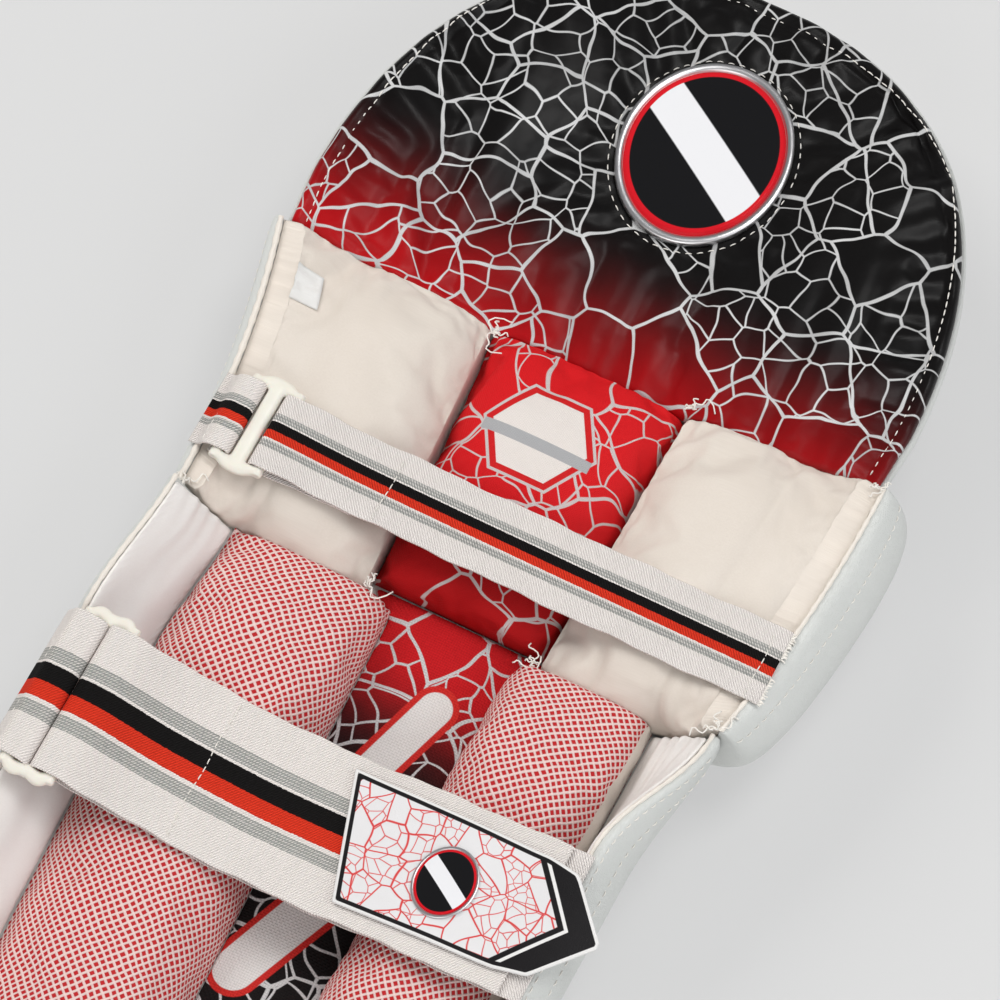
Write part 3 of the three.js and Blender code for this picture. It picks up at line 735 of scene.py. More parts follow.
def end_print(material, colour, lines, pitch, relief, gloss, shine):
    """Finishes a printed cloth: the weave under the print, with painted shade in the hollows between its
    threads, and lines a little smoother than the ground.
    """
    tree = material.node_tree
    place = place_on_cloth(tree)
    weave = use_group(tree, plain_weave, place, pitch)
    # Painted shade: the colour is mixed towards black where the weave is low, between its threads.
    shaded = tint(tree, ramp(tree, weave["Height"], 0.0, 0.7, 0.22, 0.0), colour, (0, 0, 0, 1))
    creases = maths(tree, "MULTIPLY", noise(tree, place, 0.05, 2.0), 3.0)
    height = maths(tree, "MULTIPLY_ADD", weave["Height"], gloss * gloss, creases)
    roughness = ramp(tree, lines, 0, 1, gloss, gloss - 0.08)
    return end_finish(material, shaded, roughness, height, relief, Specular_IOR_Level=shine)


def strip_finish():
    """Coarse cloth, red to black, with silver lines and pale pills with a red edge."""
    material, tree = start_finish("strip_print")
    place = place_on_object(tree)
    ground = fade(tree, place, 15, -60, (0.56, 0.014, 0.018, 1), (0.012, 0.010, 0.010, 1), 0.0)
    lines = use_group(tree, line_network, place, 28.0, 1.7)["Line"]
    colour = tint(tree, lines, ground, SILVER)
    for start, end, half in PILLS:
        distance = pill_distance(tree, place, start, end)
        for reach, paint in ((half, (0.62, 0.03, 0.025, 1)), (half - 3.0, (0.80, 0.78, 0.76, 1))):
            colour = tint(tree, within(tree, distance, reach, 0.3), colour, paint)
    return end_print(material, colour, lines, pitch=1.2, relief=0.4, gloss=0.7, shine=0.1)


strip_side = np.linspace(-1, 1, 25)[None, :]
strip_v = np.linspace(*STRIP_ENDS, 101)[:, None]
strip_y = shin_height(strip_side * STRIP_INNER, strip_v)
strip_across = strip_side * (strip_half(strip_y) + 12 * smooth(strip_y, SHIN_Y - 2, SHIN_Y + 4))
strip_rise = STRIP_RISE + STRIP_SWELL * (1 - strip_side**2)
strip_under = on_skin(shin_section, strip_across, strip_y, CLEARANCE)
strip_over = on_skin(shin_section, strip_across, strip_y, CLEARANCE + strip_rise)
strip = rounded(shell("trough_strip", strip_under, strip_over, strip_finish()))
stands_for(strip, "shin_strip")

# The knee's front is three leatherette rolls, pressed flat where the pad rests on them, and its sides are two
# padded wings. They are sewn to the shin below and to the thigh flap above.
KNEE_FLAT = {-1: 94, 1: 96}
KNEE_ARC = {-1: 64, 1: 66}
KNEE_TURN = {-1: 80, 1: 90}
KNEE_GIRTH = {sign: KNEE_FLAT[sign] + KNEE_ARC[sign] for sign in (-1, 1)}
KNEE_FACE_HALF = 104.0
KNEE_WINGS = {-1: (13, 5, 6), 1: (13, 5, 22)}
ROLLS = ("lower", "middle", "upper")
ROLL_ROUND = 2.6
ROLL_HEM = 4
ROLL_THICK = 40
ROLL_END_THICK = 17


def knee_section(left, y):
    """The knee's channel at height y, as for the shin."""
    share = np.clip((y - SHIN_Y) / (FLAP_Y - SHIN_Y), 0, 1)
    taper = np.where(left, 1 + 0.158 * share**2, 1.06 - 0.11 * (1 - share) ** 2)
    turn = np.radians(by_side(left, KNEE_TURN))
    return by_side(left, KNEE_FLAT), by_side(left, KNEE_ARC), turn, taper, KNEE_SKIN


def knee_roll(order):
    """Front and back of a knee roll: a round crown from seam to seam, thinner towards the sides."""
    across = np.linspace(-KNEE_FACE_HALF, KNEE_FACE_HALF, 61)[None, :]
    low = mix(SHIN_Y, FLAP_Y, order / len(ROLLS)) + CLEARANCE / 2
    high = mix(SHIN_Y, FLAP_Y, (order + 1) / len(ROLLS)) - CLEARANCE / 2
    step = crowned_steps(high - low, ROLL_THICK - ROLL_HEM, ROLL_ROUND, 26)[:, None]
    y = mix(low, high, step)
    depth = mix(ROLL_THICK, ROLL_END_THICK, (np.abs(across) / KNEE_FACE_HALF) ** 4)
    front = on_skin(knee_section, across, y, -mix(ROLL_HEM, depth, crown(step, ROLL_ROUND)))
    return pressed(front), on_skin(knee_section, across, y, 0.0)


def knee_wing(sign):
    """Outside and inside of a knee wing, from the rolls' ends to the rim, thinner at its two seams."""
    share = np.linspace(0, 1, 25)[None, :]
    v = crowned_steps(FLAP_Y - SHIN_Y, 20, 4, 44)[:, None]
    across = sign * mix(KNEE_FACE_HALF + CLEARANCE, KNEE_GIRTH[sign], share)
    y = mix(SHIN_Y + CLEARANCE, FLAP_Y - CLEARANCE, v)
    depth = wing_depth(share, *KNEE_WINGS[sign]) * mix(0.4, 1, crown(v, 4))
    return on_skin(knee_section, across, y, -depth), on_skin(knee_section, across, y, 0.0)


for order, level in enumerate(ROLLS):
    roll = shell("knee_roll_pad_" + level, *knee_roll(order), leatherette)
    stands_for(rounded(roll), "knee_roll_" + level)
for side, sign in SIDES:
    wing = shell("knee_wing_pad_" + side, *knee_wing(sign), leatherette)
    stands_for(rounded(wing), "knee_wing_" + side)

# The knee is held by two cream cotton pillows and a red printed one between them, all stuffed and sewn down
# round their edges, so that the cloth puckers at the seams. A bare woven label is sewn to the left pillow.
PILLOW_ROWS = 57
PILLOW_COLUMNS = 49
PILLOW_ROUND = 3.2
PILLOW_INNER = 45.7
PILLOW_THICK = 39.0
PILLOW_RIM_THICK = 17.0
PILLOW_SEAM = 3.0
PILLOW_HEM = 8.0
PILLOW_GATHER = 3.4
GATHER_WAY = np.array([0.0, -0.7, 0.7])
CUP_HALF = 45.2
CUP_THICK = 31.0
CUP_SEAM = 4
CUP_ROUND = 3.4
CUP_END_ROUND = 2.6
EMBLEM = (-4.3, 124.6)


def relaxed(grid, rounds):
    """A surface smoothed by taking the mean with its neighbours, again and again; its edges stay."""
    grid = grid.copy()
    for _ in range(rounds):
        around = grid[:-2, 1:-1] + grid[2:, 1:-1] + grid[1:-1, :-2] + grid[1:-1, 2:]
        grid[1:-1, 1:-1] = 0.5 * grid[1:-1, 1:-1] + 0.125 * around
    return grid


def knee_pillow(sign):
    """Foot and top of a knee pillow: a squared crown both ways, lower towards the rim. Its upper edge leans
    over the seam with the flap, and its lower edge over the bolster's end, where it is gathered in a few
    folds that are |cos| of the place across and die out upwards."""
    outer = KNEE_GIRTH[sign] - 2
    share = crowned_steps(outer - PILLOW_INNER, PILLOW_THICK, PILLOW_ROUND, PILLOW_COLUMNS - 1)[None, :]
    v = crowned_steps(FLAP_Y - SHIN_Y - 2, PILLOW_THICK, PILLOW_ROUND, PILLOW_ROWS - 1)[:, None]
    across = sign * mix(PILLOW_INNER, outer, share)
    y = mix(SHIN_Y + 1, FLAP_Y - 1, v)
    full = crown(mix(0.02, 0.99, share), PILLOW_ROUND) * crown(mix(0, 0.96, v), PILLOW_ROUND)
    hem = mix(PILLOW_SEAM, PILLOW_HEM, share**4 * crown(v, 6))
    thick = mix(hem, mix(PILLOW_THICK, PILLOW_RIM_THICK, share**3), full)
    lean = 4 * v**6 * full - 9 * (1 - v) ** 4 * np.minimum(1, 2 * full)
    foot = on_skin(knee_section, across, y, CLEARANCE)
    top = relaxed(on_skin(knee_section, across, y + lean, CLEARANCE + thick), 30)
    folds = np.abs(np.cos(np.pi * (4.3 * share + 0.35 * np.sin(8 * share) + 0.2))) - 0.6
    gather = PILLOW_GATHER * folds * np.minimum(1, 10 * v) * np.exp(-5 * v) * crown(share, 6)
    return foot, top + gather[..., None] * GATHER_WAY


def knee_cup():
    """Foot and top of the red pillow: a rounder crown, which leans over its upper and lower seams."""
    share = crowned_steps(2 * CUP_HALF, CUP_THICK, CUP_ROUND, 44)[None, :]
    v = crowned_steps(FLAP_Y - SHIN_Y - 9, CUP_THICK, CUP_END_ROUND, 54)[:, None]
    across = mix(-CUP_HALF, CUP_HALF, share)
    full = crown(share, CUP_ROUND) * crown(mix(0, 0.96, v), CUP_END_ROUND)
    y = mix(SHIN_Y + 8, FLAP_Y - 1, v)
    lean = 4 * v**6 * full - 8 * (1 - v) ** 3 * np.minimum(1, 2 * full)
    foot = on_skin(knee_section, across, y, CLEARANCE)
    thick = mix(CUP_SEAM, CUP_THICK, full)
    return foot, relaxed(on_skin(knee_section, across, y + lean, CLEARANCE + thick), 20)


def cup_finish():
    """Red cloth with silver lines, darker red over its lower roll as painted shade, and a plain cream hexagon
    with a silver bar in the middle.
    """
    material, tree = start_finish("cup_print")
    place = place_on_object(tree)
    # Painted shade: the red darkens from 110 mm down to 40 mm, over the lower roll that turns down.
    ground = fade(tree, place, 110, 40, (0.68, 0.014, 0.018, 1), (0.46, 0.008, 0.010, 1), 0.0)
    lines = use_group(tree, line_network, place, 32.0, 1.4)["Line"]
    colour = tint(tree, lines, ground, (0.62, 0.55, 0.54, 1))
    axes = tree_axes(tree, place)
    x = maths(tree, "SUBTRACT", axes[0], EMBLEM[0])
    y = maths(tree, "SUBTRACT", axes[1], EMBLEM[1])
    slants = [
        maths(tree, "ABSOLUTE", maths(tree, "MULTIPLY_ADD", y, slope, maths(tree, "MULTIPLY", x, 0.866)))
        for slope in (0.5, -0.5)
    ]
    hexagon = maths(tree, "MAXIMUM", maths(tree, "ABSOLUTE", y), maths(tree, "MAXIMUM", *slants))
    for reach, paint in (
        (25.0, (0.60, 0.55, 0.54, 1)),
        (23.6, (0.62, 0.018, 0.020, 1)),
        (20.6, (0.80, 0.74, 0.70, 1)),
    ):
        colour = tint(tree, within(tree, hexagon, reach, 0.2), colour, paint)
    past_bar = [
        maths(tree, "SUBTRACT", maths(tree, "ABSOLUTE", distance), half)
        for distance, half in ((x, 27.0), (maths(tree, "ADD", y, 4.0), 3.0))
    ]
    bar = maths(tree, "MAXIMUM", *past_bar)
    colour = tint(tree, within(tree, bar, 0.0, 0.2), colour, (0.42, 0.42, 0.43, 1))
    return end_print(material, colour, lines, pitch=0.7, relief=0.35, gloss=0.6, shine=0.1)


pillows = {}
for side, sign in SIDES:
    foot, top = knee_pillow(sign)
    pillow = shell("knee_cotton_" + side, foot, top, cotton)
    swell(pillow, loose_inside(*top.shape[:2]), pressure=5.0, growth=0.07, cap=7.0)
    stands_for(rounded(pillow), "knee_pillow_" + side)
    pillows[sign] = pillow
foot, top = knee_cup()
cup = shell("knee_cup_cloth", foot, top, cup_finish())
swell(cup, loose_inside(*top.shape[:2]), pressure=4.0, growth=0.05, cap=5.0)
stands_for(rounded(cup), "knee_cup")


def settle(places, surface, lift):
    """Gives places the height of a piece's upper side at their x and y, and a lift. The height is that of the
    four nearest points of the piece, weighted by one over the square of their distance."""
    ground = vertices_of(surface.data) / MM
    ground = ground[len(ground) // 2 :]
    flat = places.reshape(-1, 3)
    gaps = ((flat[:, None, :2] - ground[None, :, :2]) ** 2).sum(axis=2)
    near = np.argpartition(gaps, 4, axis=1)[:, :4]
    weight = 1 / (np.take_along_axis(gaps, near, axis=1) + 0.05)
    height = (ground[near, 2] * weight).sum(axis=1) / weight.sum(axis=1)
    settled = flat.copy()
    settled[:, 2] = height + lift
    return settled.reshape(places.shape)


def upper_side(made, rows, columns):
    """The upper surface of a shell as it now is, as a grid of rows and columns."""
    return (vertices_of(made.data) / MM)[-rows * columns :].reshape(rows, columns, 3)


def at_grid(grid, rows, columns):
    """Points of a grid at fractional rows and columns, each a weighted mean of the four points round it."""
    low_row = np.clip(np.floor(rows).astype(int), 0, grid.shape[0] - 2)
    low_column = np.clip(np.floor(columns).astype(int), 0, grid.shape[1] - 2)
    r = (rows - low_row)[..., None]
    c = (columns - low_column)[..., None]
    near = mix(grid[low_row, low_column], grid[low_row, low_column + 1], c)
    far = mix(grid[low_row + 1, low_column], grid[low_row + 1, low_column + 1], c)
    return mix(near, far, r)


LABEL_ROWS = (38.0, 43.5)
LABEL_COLUMNS = (36.4, 47.0)
LABEL_STEPS = 17
LABEL_LIFT = np.array([0, 0, 0.5])
LABEL_THICK = np.array([0, 0, 0.7])
label_rows, label_columns = np.meshgrid(
    np.linspace(*LABEL_ROWS, LABEL_STEPS), np.linspace(*LABEL_COLUMNS, LABEL_STEPS), indexing="ij"
)
pillow_top = upper_side(pillows[-1], PILLOW_ROWS, PILLOW_COLUMNS)
label_under = at_grid(pillow_top, label_rows, label_columns) + LABEL_LIFT
label_over = label_under + LABEL_THICK
label_cloth = cloth_finish(
    "label_cloth", (0.86, 0.85, 0.83, 1), (0.80, 0.79, 0.77, 1), pitch=0.4, relief=0.08, sheen=0.0
)
stands_for(shell("woven_label", label_under, label_over, label_cloth), "size_label")

# The thigh flap has a ribbed leatherette front and a padded satin lining, printed from red to black with
# silver lines. The lining is topstitched round its edge and gathered along the seam at the knee.
PAD_TOP = box_mm("flap_face")[1][1]
FLAP_MIDDLE, FLAP_HALF = (corner[0] for corner in middle_and_half("flap_face"))
FLAP_SHOULDER = 30.0
FLAP_SQUARE = 2.2
FLAP_SEAM_Z = 42
FLAP_SIDE_RISE = 27
FLAP_TOP_RISE = 14
LINING_INSET = 2.5
LINING_EDGE = 3
LINING_PAD = 8
LINING_FOLD = 4.6
TOPSTITCH = 7.0
BADGE_MIDDLE, BADGE_HALF = (corner[:2] for corner in middle_and_half("flap_badge"))


def flap_skin(x, y):
    """Height of the flap's skin: a shallow bowl, higher at the sides and towards the top."""
    up = (y - FLAP_Y) / (PAD_TOP - FLAP_Y)
    return FLAP_SEAM_Z + FLAP_SIDE_RISE * ((x - FLAP_MIDDLE) / FLAP_HALF) ** 2 + FLAP_TOP_RISE * up**2


def flap_place(side, up, inset):
    """Sideways and lengthways place on the flap, and how far out it is. Above the shoulder a square is pulled
    into a superellipse; below it the sides run straight down to the seam."""
    shoulder = FLAP_Y + FLAP_SHOULDER
    half = FLAP_HALF - inset
    rise = np.maximum(up, 0)
    p = side * np.sqrt(1 - rise**2 / 2)
    q = rise * np.sqrt(1 - side**2 / 2)
    reach = np.hypot(p, q)
    norm = (np.abs(p) ** FLAP_SQUARE + q**FLAP_SQUARE) ** (1 / FLAP_SQUARE)
    fit = reach / np.maximum(norm, 1e-9)
    below = up < 0
    x = FLAP_MIDDLE + np.where(below, side * (half + 3 * up), half * p * fit)
    above = shoulder + (PAD_TOP - inset - shoulder) * q * fit
    y = np.where(below, mix(shoulder, FLAP_Y + CLEARANCE, -up), above)
    return x, y, np.where(below, np.abs(side), reach)


def flap_grid(columns, rows):
    """Steps across and up the flap, with lines of points at the topstitch and just inside the edge."""
    rim = 1 - np.array([0, 2, 4.5, TOPSTITCH, 10]) / FLAP_HALF
    inner = np.linspace(-rim[-1], rim[-1], columns - 2 * len(rim) + 2)[1:-1]
    side = np.concatenate([-rim, inner, rim[::-1]])
    up = np.concatenate([np.linspace(-1, 0, 11)[:-1], np.linspace(0, rim[-1], rows - 14)[:-1], rim[::-1]])
    return side[None, :], up[:, None]


def on_flap(side, up, inset, lift):
    """Points of the flap, raised above its skin by lift(x, y, reach)."""
    x, y, reach = np.broadcast_arrays(*flap_place(side, up, inset))
    return np.stack([x, y, flap_skin(x, y) + lift(x, y, reach)], axis=-1)


def lining_rise(x, y, reach):
    """Thickness of the lining: a pad that thins to its edge, with gathers that fade upwards from the seam and
    stop at the stiff badge."""
    puff = np.sqrt(1 - np.minimum(reach, 1) ** 5)
    up = (y - FLAP_Y) / (PAD_TOP - FLAP_Y)
    tuck = mix(0.35, 1, np.sqrt(np.clip(up / 0.12, 0, 1)))
    drift = (x - FLAP_MIDDLE) / FLAP_HALF + 0.05 * np.sin(x / 17) + 0.12 * up
    fold = np.abs(np.cos(np.pi * 4.6 * drift)) ** 0.8 + 0.6 * np.abs(np.cos(np.pi * 7.3 * drift + 1)) ** 0.9
    round_badge = np.hypot((x - BADGE_MIDDLE[0]) / BADGE_HALF[0], (y - BADGE_MIDDLE[1]) / BADGE_HALF[1])
    fold = (fold - 0.9) * np.exp(-2.8 * up) * smooth(round_badge, 0.95, 1.5)
    turn = np.arctan2(y - FLAP_Y - FLAP_SHOULDER, x - FLAP_MIDDLE)
    ripple = np.sin(turn * 34 + 2 * np.sin(turn * 5)) + 0.6 * np.sin(turn * 61 + 1)
    pucker = 1.3 * ripple * np.exp(-(((reach - 0.9) / 0.09) ** 2))
    badge_turn = np.arctan2(y - BADGE_MIDDLE[1], x - BADGE_MIDDLE[0])
    quilt = np.sin(badge_turn * 17 + np.sin(3 * badge_turn)) * np.exp(-(((round_badge - 1.25) / 0.16) ** 2))
    edge = (1 - reach) * FLAP_HALF
    bead = 1.8 * np.exp(-(((edge - 3.2) / 2.2) ** 2)) - 1.4 * np.exp(-(((edge - TOPSTITCH) / 1.8) ** 2))
    pad = CLEARANCE + LINING_EDGE + bead + LINING_PAD * puff * tuck
    return pad + LINING_FOLD * fold * puff * np.sqrt(tuck) + pucker + 1.1 * quilt


def flap_finish():
    """Satin cloth printed from red at the knee to black, with a network of silver lines."""
    material, tree = start_finish("flap_print")
    place = place_on_object(tree)
    ground = fade(tree, place, 158, 252, (0.43, 0.004, 0.007, 1), (0.004, 0.0035, 0.0035, 1), 0.08)
    lines = use_group(tree, line_network, place, 34.0, 1.5)["Line"]
    silver = tint(tree, ramp(tree, noise(tree, place, 0.025), 0.35, 0.65), SILVER, DULL_SILVER)
    colour = tint(tree, lines, ground, silver)
    return end_print(material, colour, lines, pitch=0.8, relief=0.14, gloss=0.37, shine=0.18)


front_side = np.linspace(-1, 1, 113)[None, :]
front_up = np.concatenate([np.linspace(-1, 0, 9)[:-1], np.linspace(0, 1, 60)])[:, None]
flap_front = on_flap(
    front_side,
    front_up,
    0.0,
    lambda x, y, reach: -rib_depth(x - FLAP_MIDDLE, pitch=44, groove=6, crest=11),
)
flap_back = on_flap(front_side, front_up, 0.0, lambda x, y, reach: 0.0)
flap_ribs = rounded(shell("thigh_flap_ribs", flap_front, flap_back, leatherette))
stands_for(flap_ribs, "flap_face")

lining_side, lining_up = flap_grid(104, 78)
lining_under = on_flap(lining_side, lining_up, LINING_INSET, lambda x, y, reach: CLEARANCE)
lining_over = on_flap(lining_side, lining_up, LINING_INSET, lining_rise)
badge_reach = np.hypot(*np.moveaxis((lining_over[..., :2] - BADGE_MIDDLE) / BADGE_HALF, -1, 0))
lining_loose = loose_inside(*lining_over.shape[:2])
lining_loose[1] &= np.maximum(np.abs(lining_side), lining_up) < 1 - (TOPSTITCH + 1) / FLAP_HALF
lining_loose[1] &= badge_reach > 1.1
flap_lining = shell("thigh_flap_lining", lining_under, lining_over, flap_finish())
swell(flap_lining, lining_loose, pressure=3.0, growth=0.045, cap=6.0)
stands_for(rounded(flap_lining), "flap_lining")

# A moulded oval badge is sewn into the flap's lining: a domed gloss field with a pale sash, a red ring and a
# raised silver rim. It has no mark on it.
BADGE_SEAT = 0.8


def disc(name, over, under, finish, cloth):
    """A closed round piece between two grids of rings, from the middle out, joined at the last ring."""
    rings, columns = over.shape[:2]
    layer = rings * columns
    index = np.arange(layer).reshape(rings, columns)
    after = np.roll(index, -1, axis=1)
    top = np.stack([index[:-1], index[1:], after[1:], after[:-1]], axis=-1).reshape(-1, 4)
    wall = np.stack([index[-1], index[-1] + layer, after[-1] + layer, after[-1]], axis=-1)
    middle = np.full(columns, 2 * layer)
    caps = np.concatenate(
        [
            np.stack([middle, index[0], after[0]], axis=-1),
            np.stack([middle + 1, after[0] + layer, index[0] + layer], axis=-1),
        ]
    )
    ends = np.stack([over[0].mean(axis=0), under[0].mean(axis=0)])
    points = np.concatenate([over.reshape(-1, 3), under.reshape(-1, 3), ends])
    marks = cloth.reshape(-1, 3)
    marks = np.concatenate([marks, marks, np.zeros((2, 3))])
    return piece(name, points, [np.concatenate([top, top[:, ::-1] + layer, wall]), caps], finish, marks)


def badge_finish():
    """Gloss plastic: black field with a pale sash, then a red ring, and a rough-polished silver rim."""
    material, tree = start_finish("badge_gel")
    place = place_on_cloth(tree)
    axes = tree_axes(tree, place)
    slant = maths(tree, "ABSOLUTE", maths(tree, "MULTIPLY_ADD", axes[0], 0.55, axes[1]))
    colour = tint(tree, within(tree, slant, 0.25, 0.01), (0.010, 0.010, 0.011, 1), (0.74, 0.74, 0.76, 1))
    colour = tint(tree, ramp(tree, axes[2], 0.83, 0.84), colour, (0.58, 0.012, 0.02, 1))
    rim = ramp(tree, axes[2], 0.902, 0.912)
    colour = tint(tree, rim, colour, (0.72, 0.71, 0.72, 1))
    clouds = noise(tree, place_on_object(tree), 0.25)
    roughness = ramp(tree, rim, 0, 1, 0.12, 0.34)
    end_finish(material, colour, roughness, clouds, 0.03, Specular_IOR_Level=0.05)
    tree.links.new(rim, tree.nodes["Principled BSDF"].inputs["Metallic"])
    return material


badge_gel = badge_finish()


def badge_rise(reach, edge, dome, rim):
    """Height of a badge over its seat: a dome, a groove round it and a round rim."""
    field = edge + dome * (1 - reach**2)
    bead = rim * np.sqrt(np.clip(1 - ((reach - 0.955) / 0.045) ** 2, 0, 1))
    return np.where(reach < 0.892, field, edge * 0.75) + bead


def oval_badge(name, middle, half, seat, edge, dome, rim):
    """A badge on the surface seat(x, y), with rings of points at its steps."""
    reach = np.concatenate(
        [np.linspace(0.05, 0.82, 16), [0.83, 0.84, 0.86, 0.886, 0.897, 0.904], np.linspace(0.91, 1, 12)]
    )[:, None]
    angle = np.linspace(0, 2 * np.pi, 97)[None, :-1]
    x = middle[0] + half[0] * reach * np.cos(angle)
    y = middle[1] + half[1] * reach * np.sin(angle)
    base = seat(x, y)
    over = np.stack([x, y, base + badge_rise(reach, edge, dome, rim)], axis=-1)
    under = np.stack([x, y, base], axis=-1)
    cloth = np.stack(np.broadcast_arrays(reach * np.cos(angle), reach * np.sin(angle), reach), axis=-1)
    return disc(name, over, under, badge_gel, cloth)


def badge_seat(x, y):
    """Height of the lining under the badge."""
    return flap_skin(x, y) + lining_rise(x, y, np.zeros_like(x)) + BADGE_SEAT


badge = oval_badge("thigh_flap_badge", BADGE_MIDDLE, BADGE_HALF, badge_seat, edge=3.0, dome=3.0, rim=1.4)
stands_for(badge, "flap_badge")

# Two straps of thick white elastic webbing, with grey, black and red stripes woven in, go round the leg. Each
# turns round a nylon loop; a short tab of the same webbing holds the loop to the left wing.
WEBBING = 1.8
STRIPES = (
    (0.0, "white"),
    (0.275, "grey"),
    (0.367, "white"),
    (0.383, "black"),
    (0.503, "red"),
    (0.613, "white"),
    (0.64, "grey"),
    (0.727, "white"),
)
STRIPE_CENTRES = (0.321, 0.683, 0.498)  # of the two grey stripes, and of the black and red pair
STRIPE_COLOURS = {
    "white": (0.97, 0.905, 0.865, 1),
    "grey": (0.40, 0.405, 0.385, 1),
    "black": (0.010, 0.009, 0.009, 1),
    "red": (0.84, 0.046, 0.020, 1),
}
BAR_HALF = 2.5
LOOP_HALF_THICK = 2.0
WRAP = 1.3
KNEE_BARS = (-130.0, -119.0, -108.0)
CALF_BARS = (-141.0, -118.0)
KNEE_LOOP_Z = 80.0
CALF_LOOP_Z = 84.0


def strap_place(node):
    """Middle and width of a strap along the pad."""
    middle, half = middle_and_half(node)
    return {"middle": middle[1], "width": 2 * half[1]}


KNEE_STRAP = strap_place("knee_strap")
CALF_STRAP = strap_place("calf_strap")


def webbing_finish():
    """Woven elastic: stripes across its width, diagonal rows of stitches, flecks of white in the grey, and
    painted shade between the rows of stitches, deeper on the black and red stripes.
    """
    material, tree = start_finish("webbing")
    place = place_on_cloth(tree)
    axes = tree_axes(tree, place)
    slant = maths(tree, "MULTIPLY_ADD", axes[1], 0.8, axes[0])
    ridge = ridges(tree, slant, np.pi / 1.4)
    row = ridges(tree, axes[1], np.pi / 1.5)
    twill = maths(tree, "MULTIPLY", ridge, ramp(tree, row, 0.0, 0.6, 0.45, 1.0))
    ragged = maths(tree, "MULTIPLY_ADD", noise(tree, place, 0.7, 1.0), 0.010, -0.005)
    stripes = tree.nodes.new("ShaderNodeValToRGB")
    stripes.color_ramp.interpolation = "CONSTANT"
    stops = stripes.color_ramp.elements
    for number, (start, paint) in enumerate(STRIPES):
        stop = stops[number] if number < 2 else stops.new(start)
        stop.position = start
        stop.color = STRIPE_COLOURS[paint]
    tree.links.new(maths(tree, "ADD", axes[2], ragged), stripes.inputs[0])
    speckle = maths(tree, "MULTIPLY_ADD", noise(tree, place, 0.9, 1.0), 0.9, -0.45)
    flecks = ramp(tree, maths(tree, "MULTIPLY_ADD", ridge, row, speckle), 0.2, 0.7, 0.0, 0.5)
    from_grey, from_other_grey, from_dark = (
        maths(tree, "ABSOLUTE", maths(tree, "SUBTRACT", axes[2], centre)) for centre in STRIPE_CENTRES
    )
    grey = [within(tree, distance, 0.045, 0.001) for distance in (from_grey, from_other_grey)]
    fleck = maths(tree, "MULTIPLY", flecks, maths(tree, "ADD", *grey))
    flecked = tint(tree, fleck, stripes.outputs[0], STRIPE_COLOURS["white"])
    # Painted shade between the twill's ridges: `depth` is its strength, deeper on the black and red stripes
    # than elsewhere.
    depth = ramp(tree, from_dark, 0.112, 0.118, 0.25, 0.06)
    shade = maths(tree, "MULTIPLY", ramp(tree, twill, 0.0, 0.6, 1.0, 0.0), depth)
    shaded = tint(tree, shade, flecked, (0.004, 0.003, 0.003, 1))
    roughness = ramp(tree, twill, 0, 1, 0.92, 0.8)
    return end_finish(material, shaded, roughness, twill, 0.75, Specular_IOR_Level=0.12)


webbing = webbing_finish()


def run_along(line):
    """Distance of each point of a line from its start, along the line."""
    return np.concatenate([[0], np.linalg.norm(np.diff(line, axis=0), axis=1).cumsum()])


def at_run(places, run, values):
    """Rows of values, known at the distances `run`, at other distances."""
    return np.stack([np.interp(places, run, column) for column in values.T], axis=-1)


def evenly(line, step):
    """Points at even steps of about `step` along a line."""
    run = run_along(line)
    return at_run(np.linspace(0, run[-1], max(2, int(round(run[-1] / step)) + 1)), run, line)


def smooth_route(stops, step):
    """A centripetal Catmull-Rom curve through stops, as points that are evenly spaced by about `step`."""
    stops = np.array(stops, dtype=float)
    ends = np.concatenate([[2 * stops[0] - stops[1]], stops, [2 * stops[-1] - stops[-2]]])
    p0, p1, p2, p3 = ends[:-3], ends[1:-2], ends[2:-1], ends[3:]
    t0, t1, t2 = (np.sqrt(np.linalg.norm(gap, axis=1))[:, None] for gap in (p1 - p0, p2 - p1, p3 - p2))
    start = t1 * ((p1 - p0) / t0 - (p2 - p0) / (t0 + t1) + (p2 - p1) / t1)
    end = t1 * ((p2 - p1) / t1 - (p3 - p1) / (t1 + t2) + (p3 - p2) / t2)
    t = np.linspace(0, 1, 24, endpoint=False)[:, None, None]
    curve = (
        (2 * t**3 - 3 * t**2 + 1) * p1
        + (t**3 - 2 * t**2 + t) * start
        + (3 * t**2 - 2 * t**3) * p2
        + (t**3 - t**2) * end
    )
    line = np.concatenate([curve.transpose(1, 0, 2).reshape(-1, stops.shape[1]), stops[-1:]])
    return evenly(line, step)


def wrap_round(bar_x, bar_z, sign, slack):
    """Stops of a half turn of webbing round a bar, over its top, its far side and its foot."""
    rise = LOOP_HALF_THICK + WRAP
    reach = BAR_HALF + WRAP + slack
    return [
        (bar_x, bar_z + rise),
        (bar_x + sign * reach * 0.9, bar_z + 0.88 * rise),
        (bar_x + sign * (reach + 0.6), bar_z),
        (bar_x + sign * reach * 0.9, bar_z - 0.88 * rise),
        (bar_x, bar_z - rise),
    ]


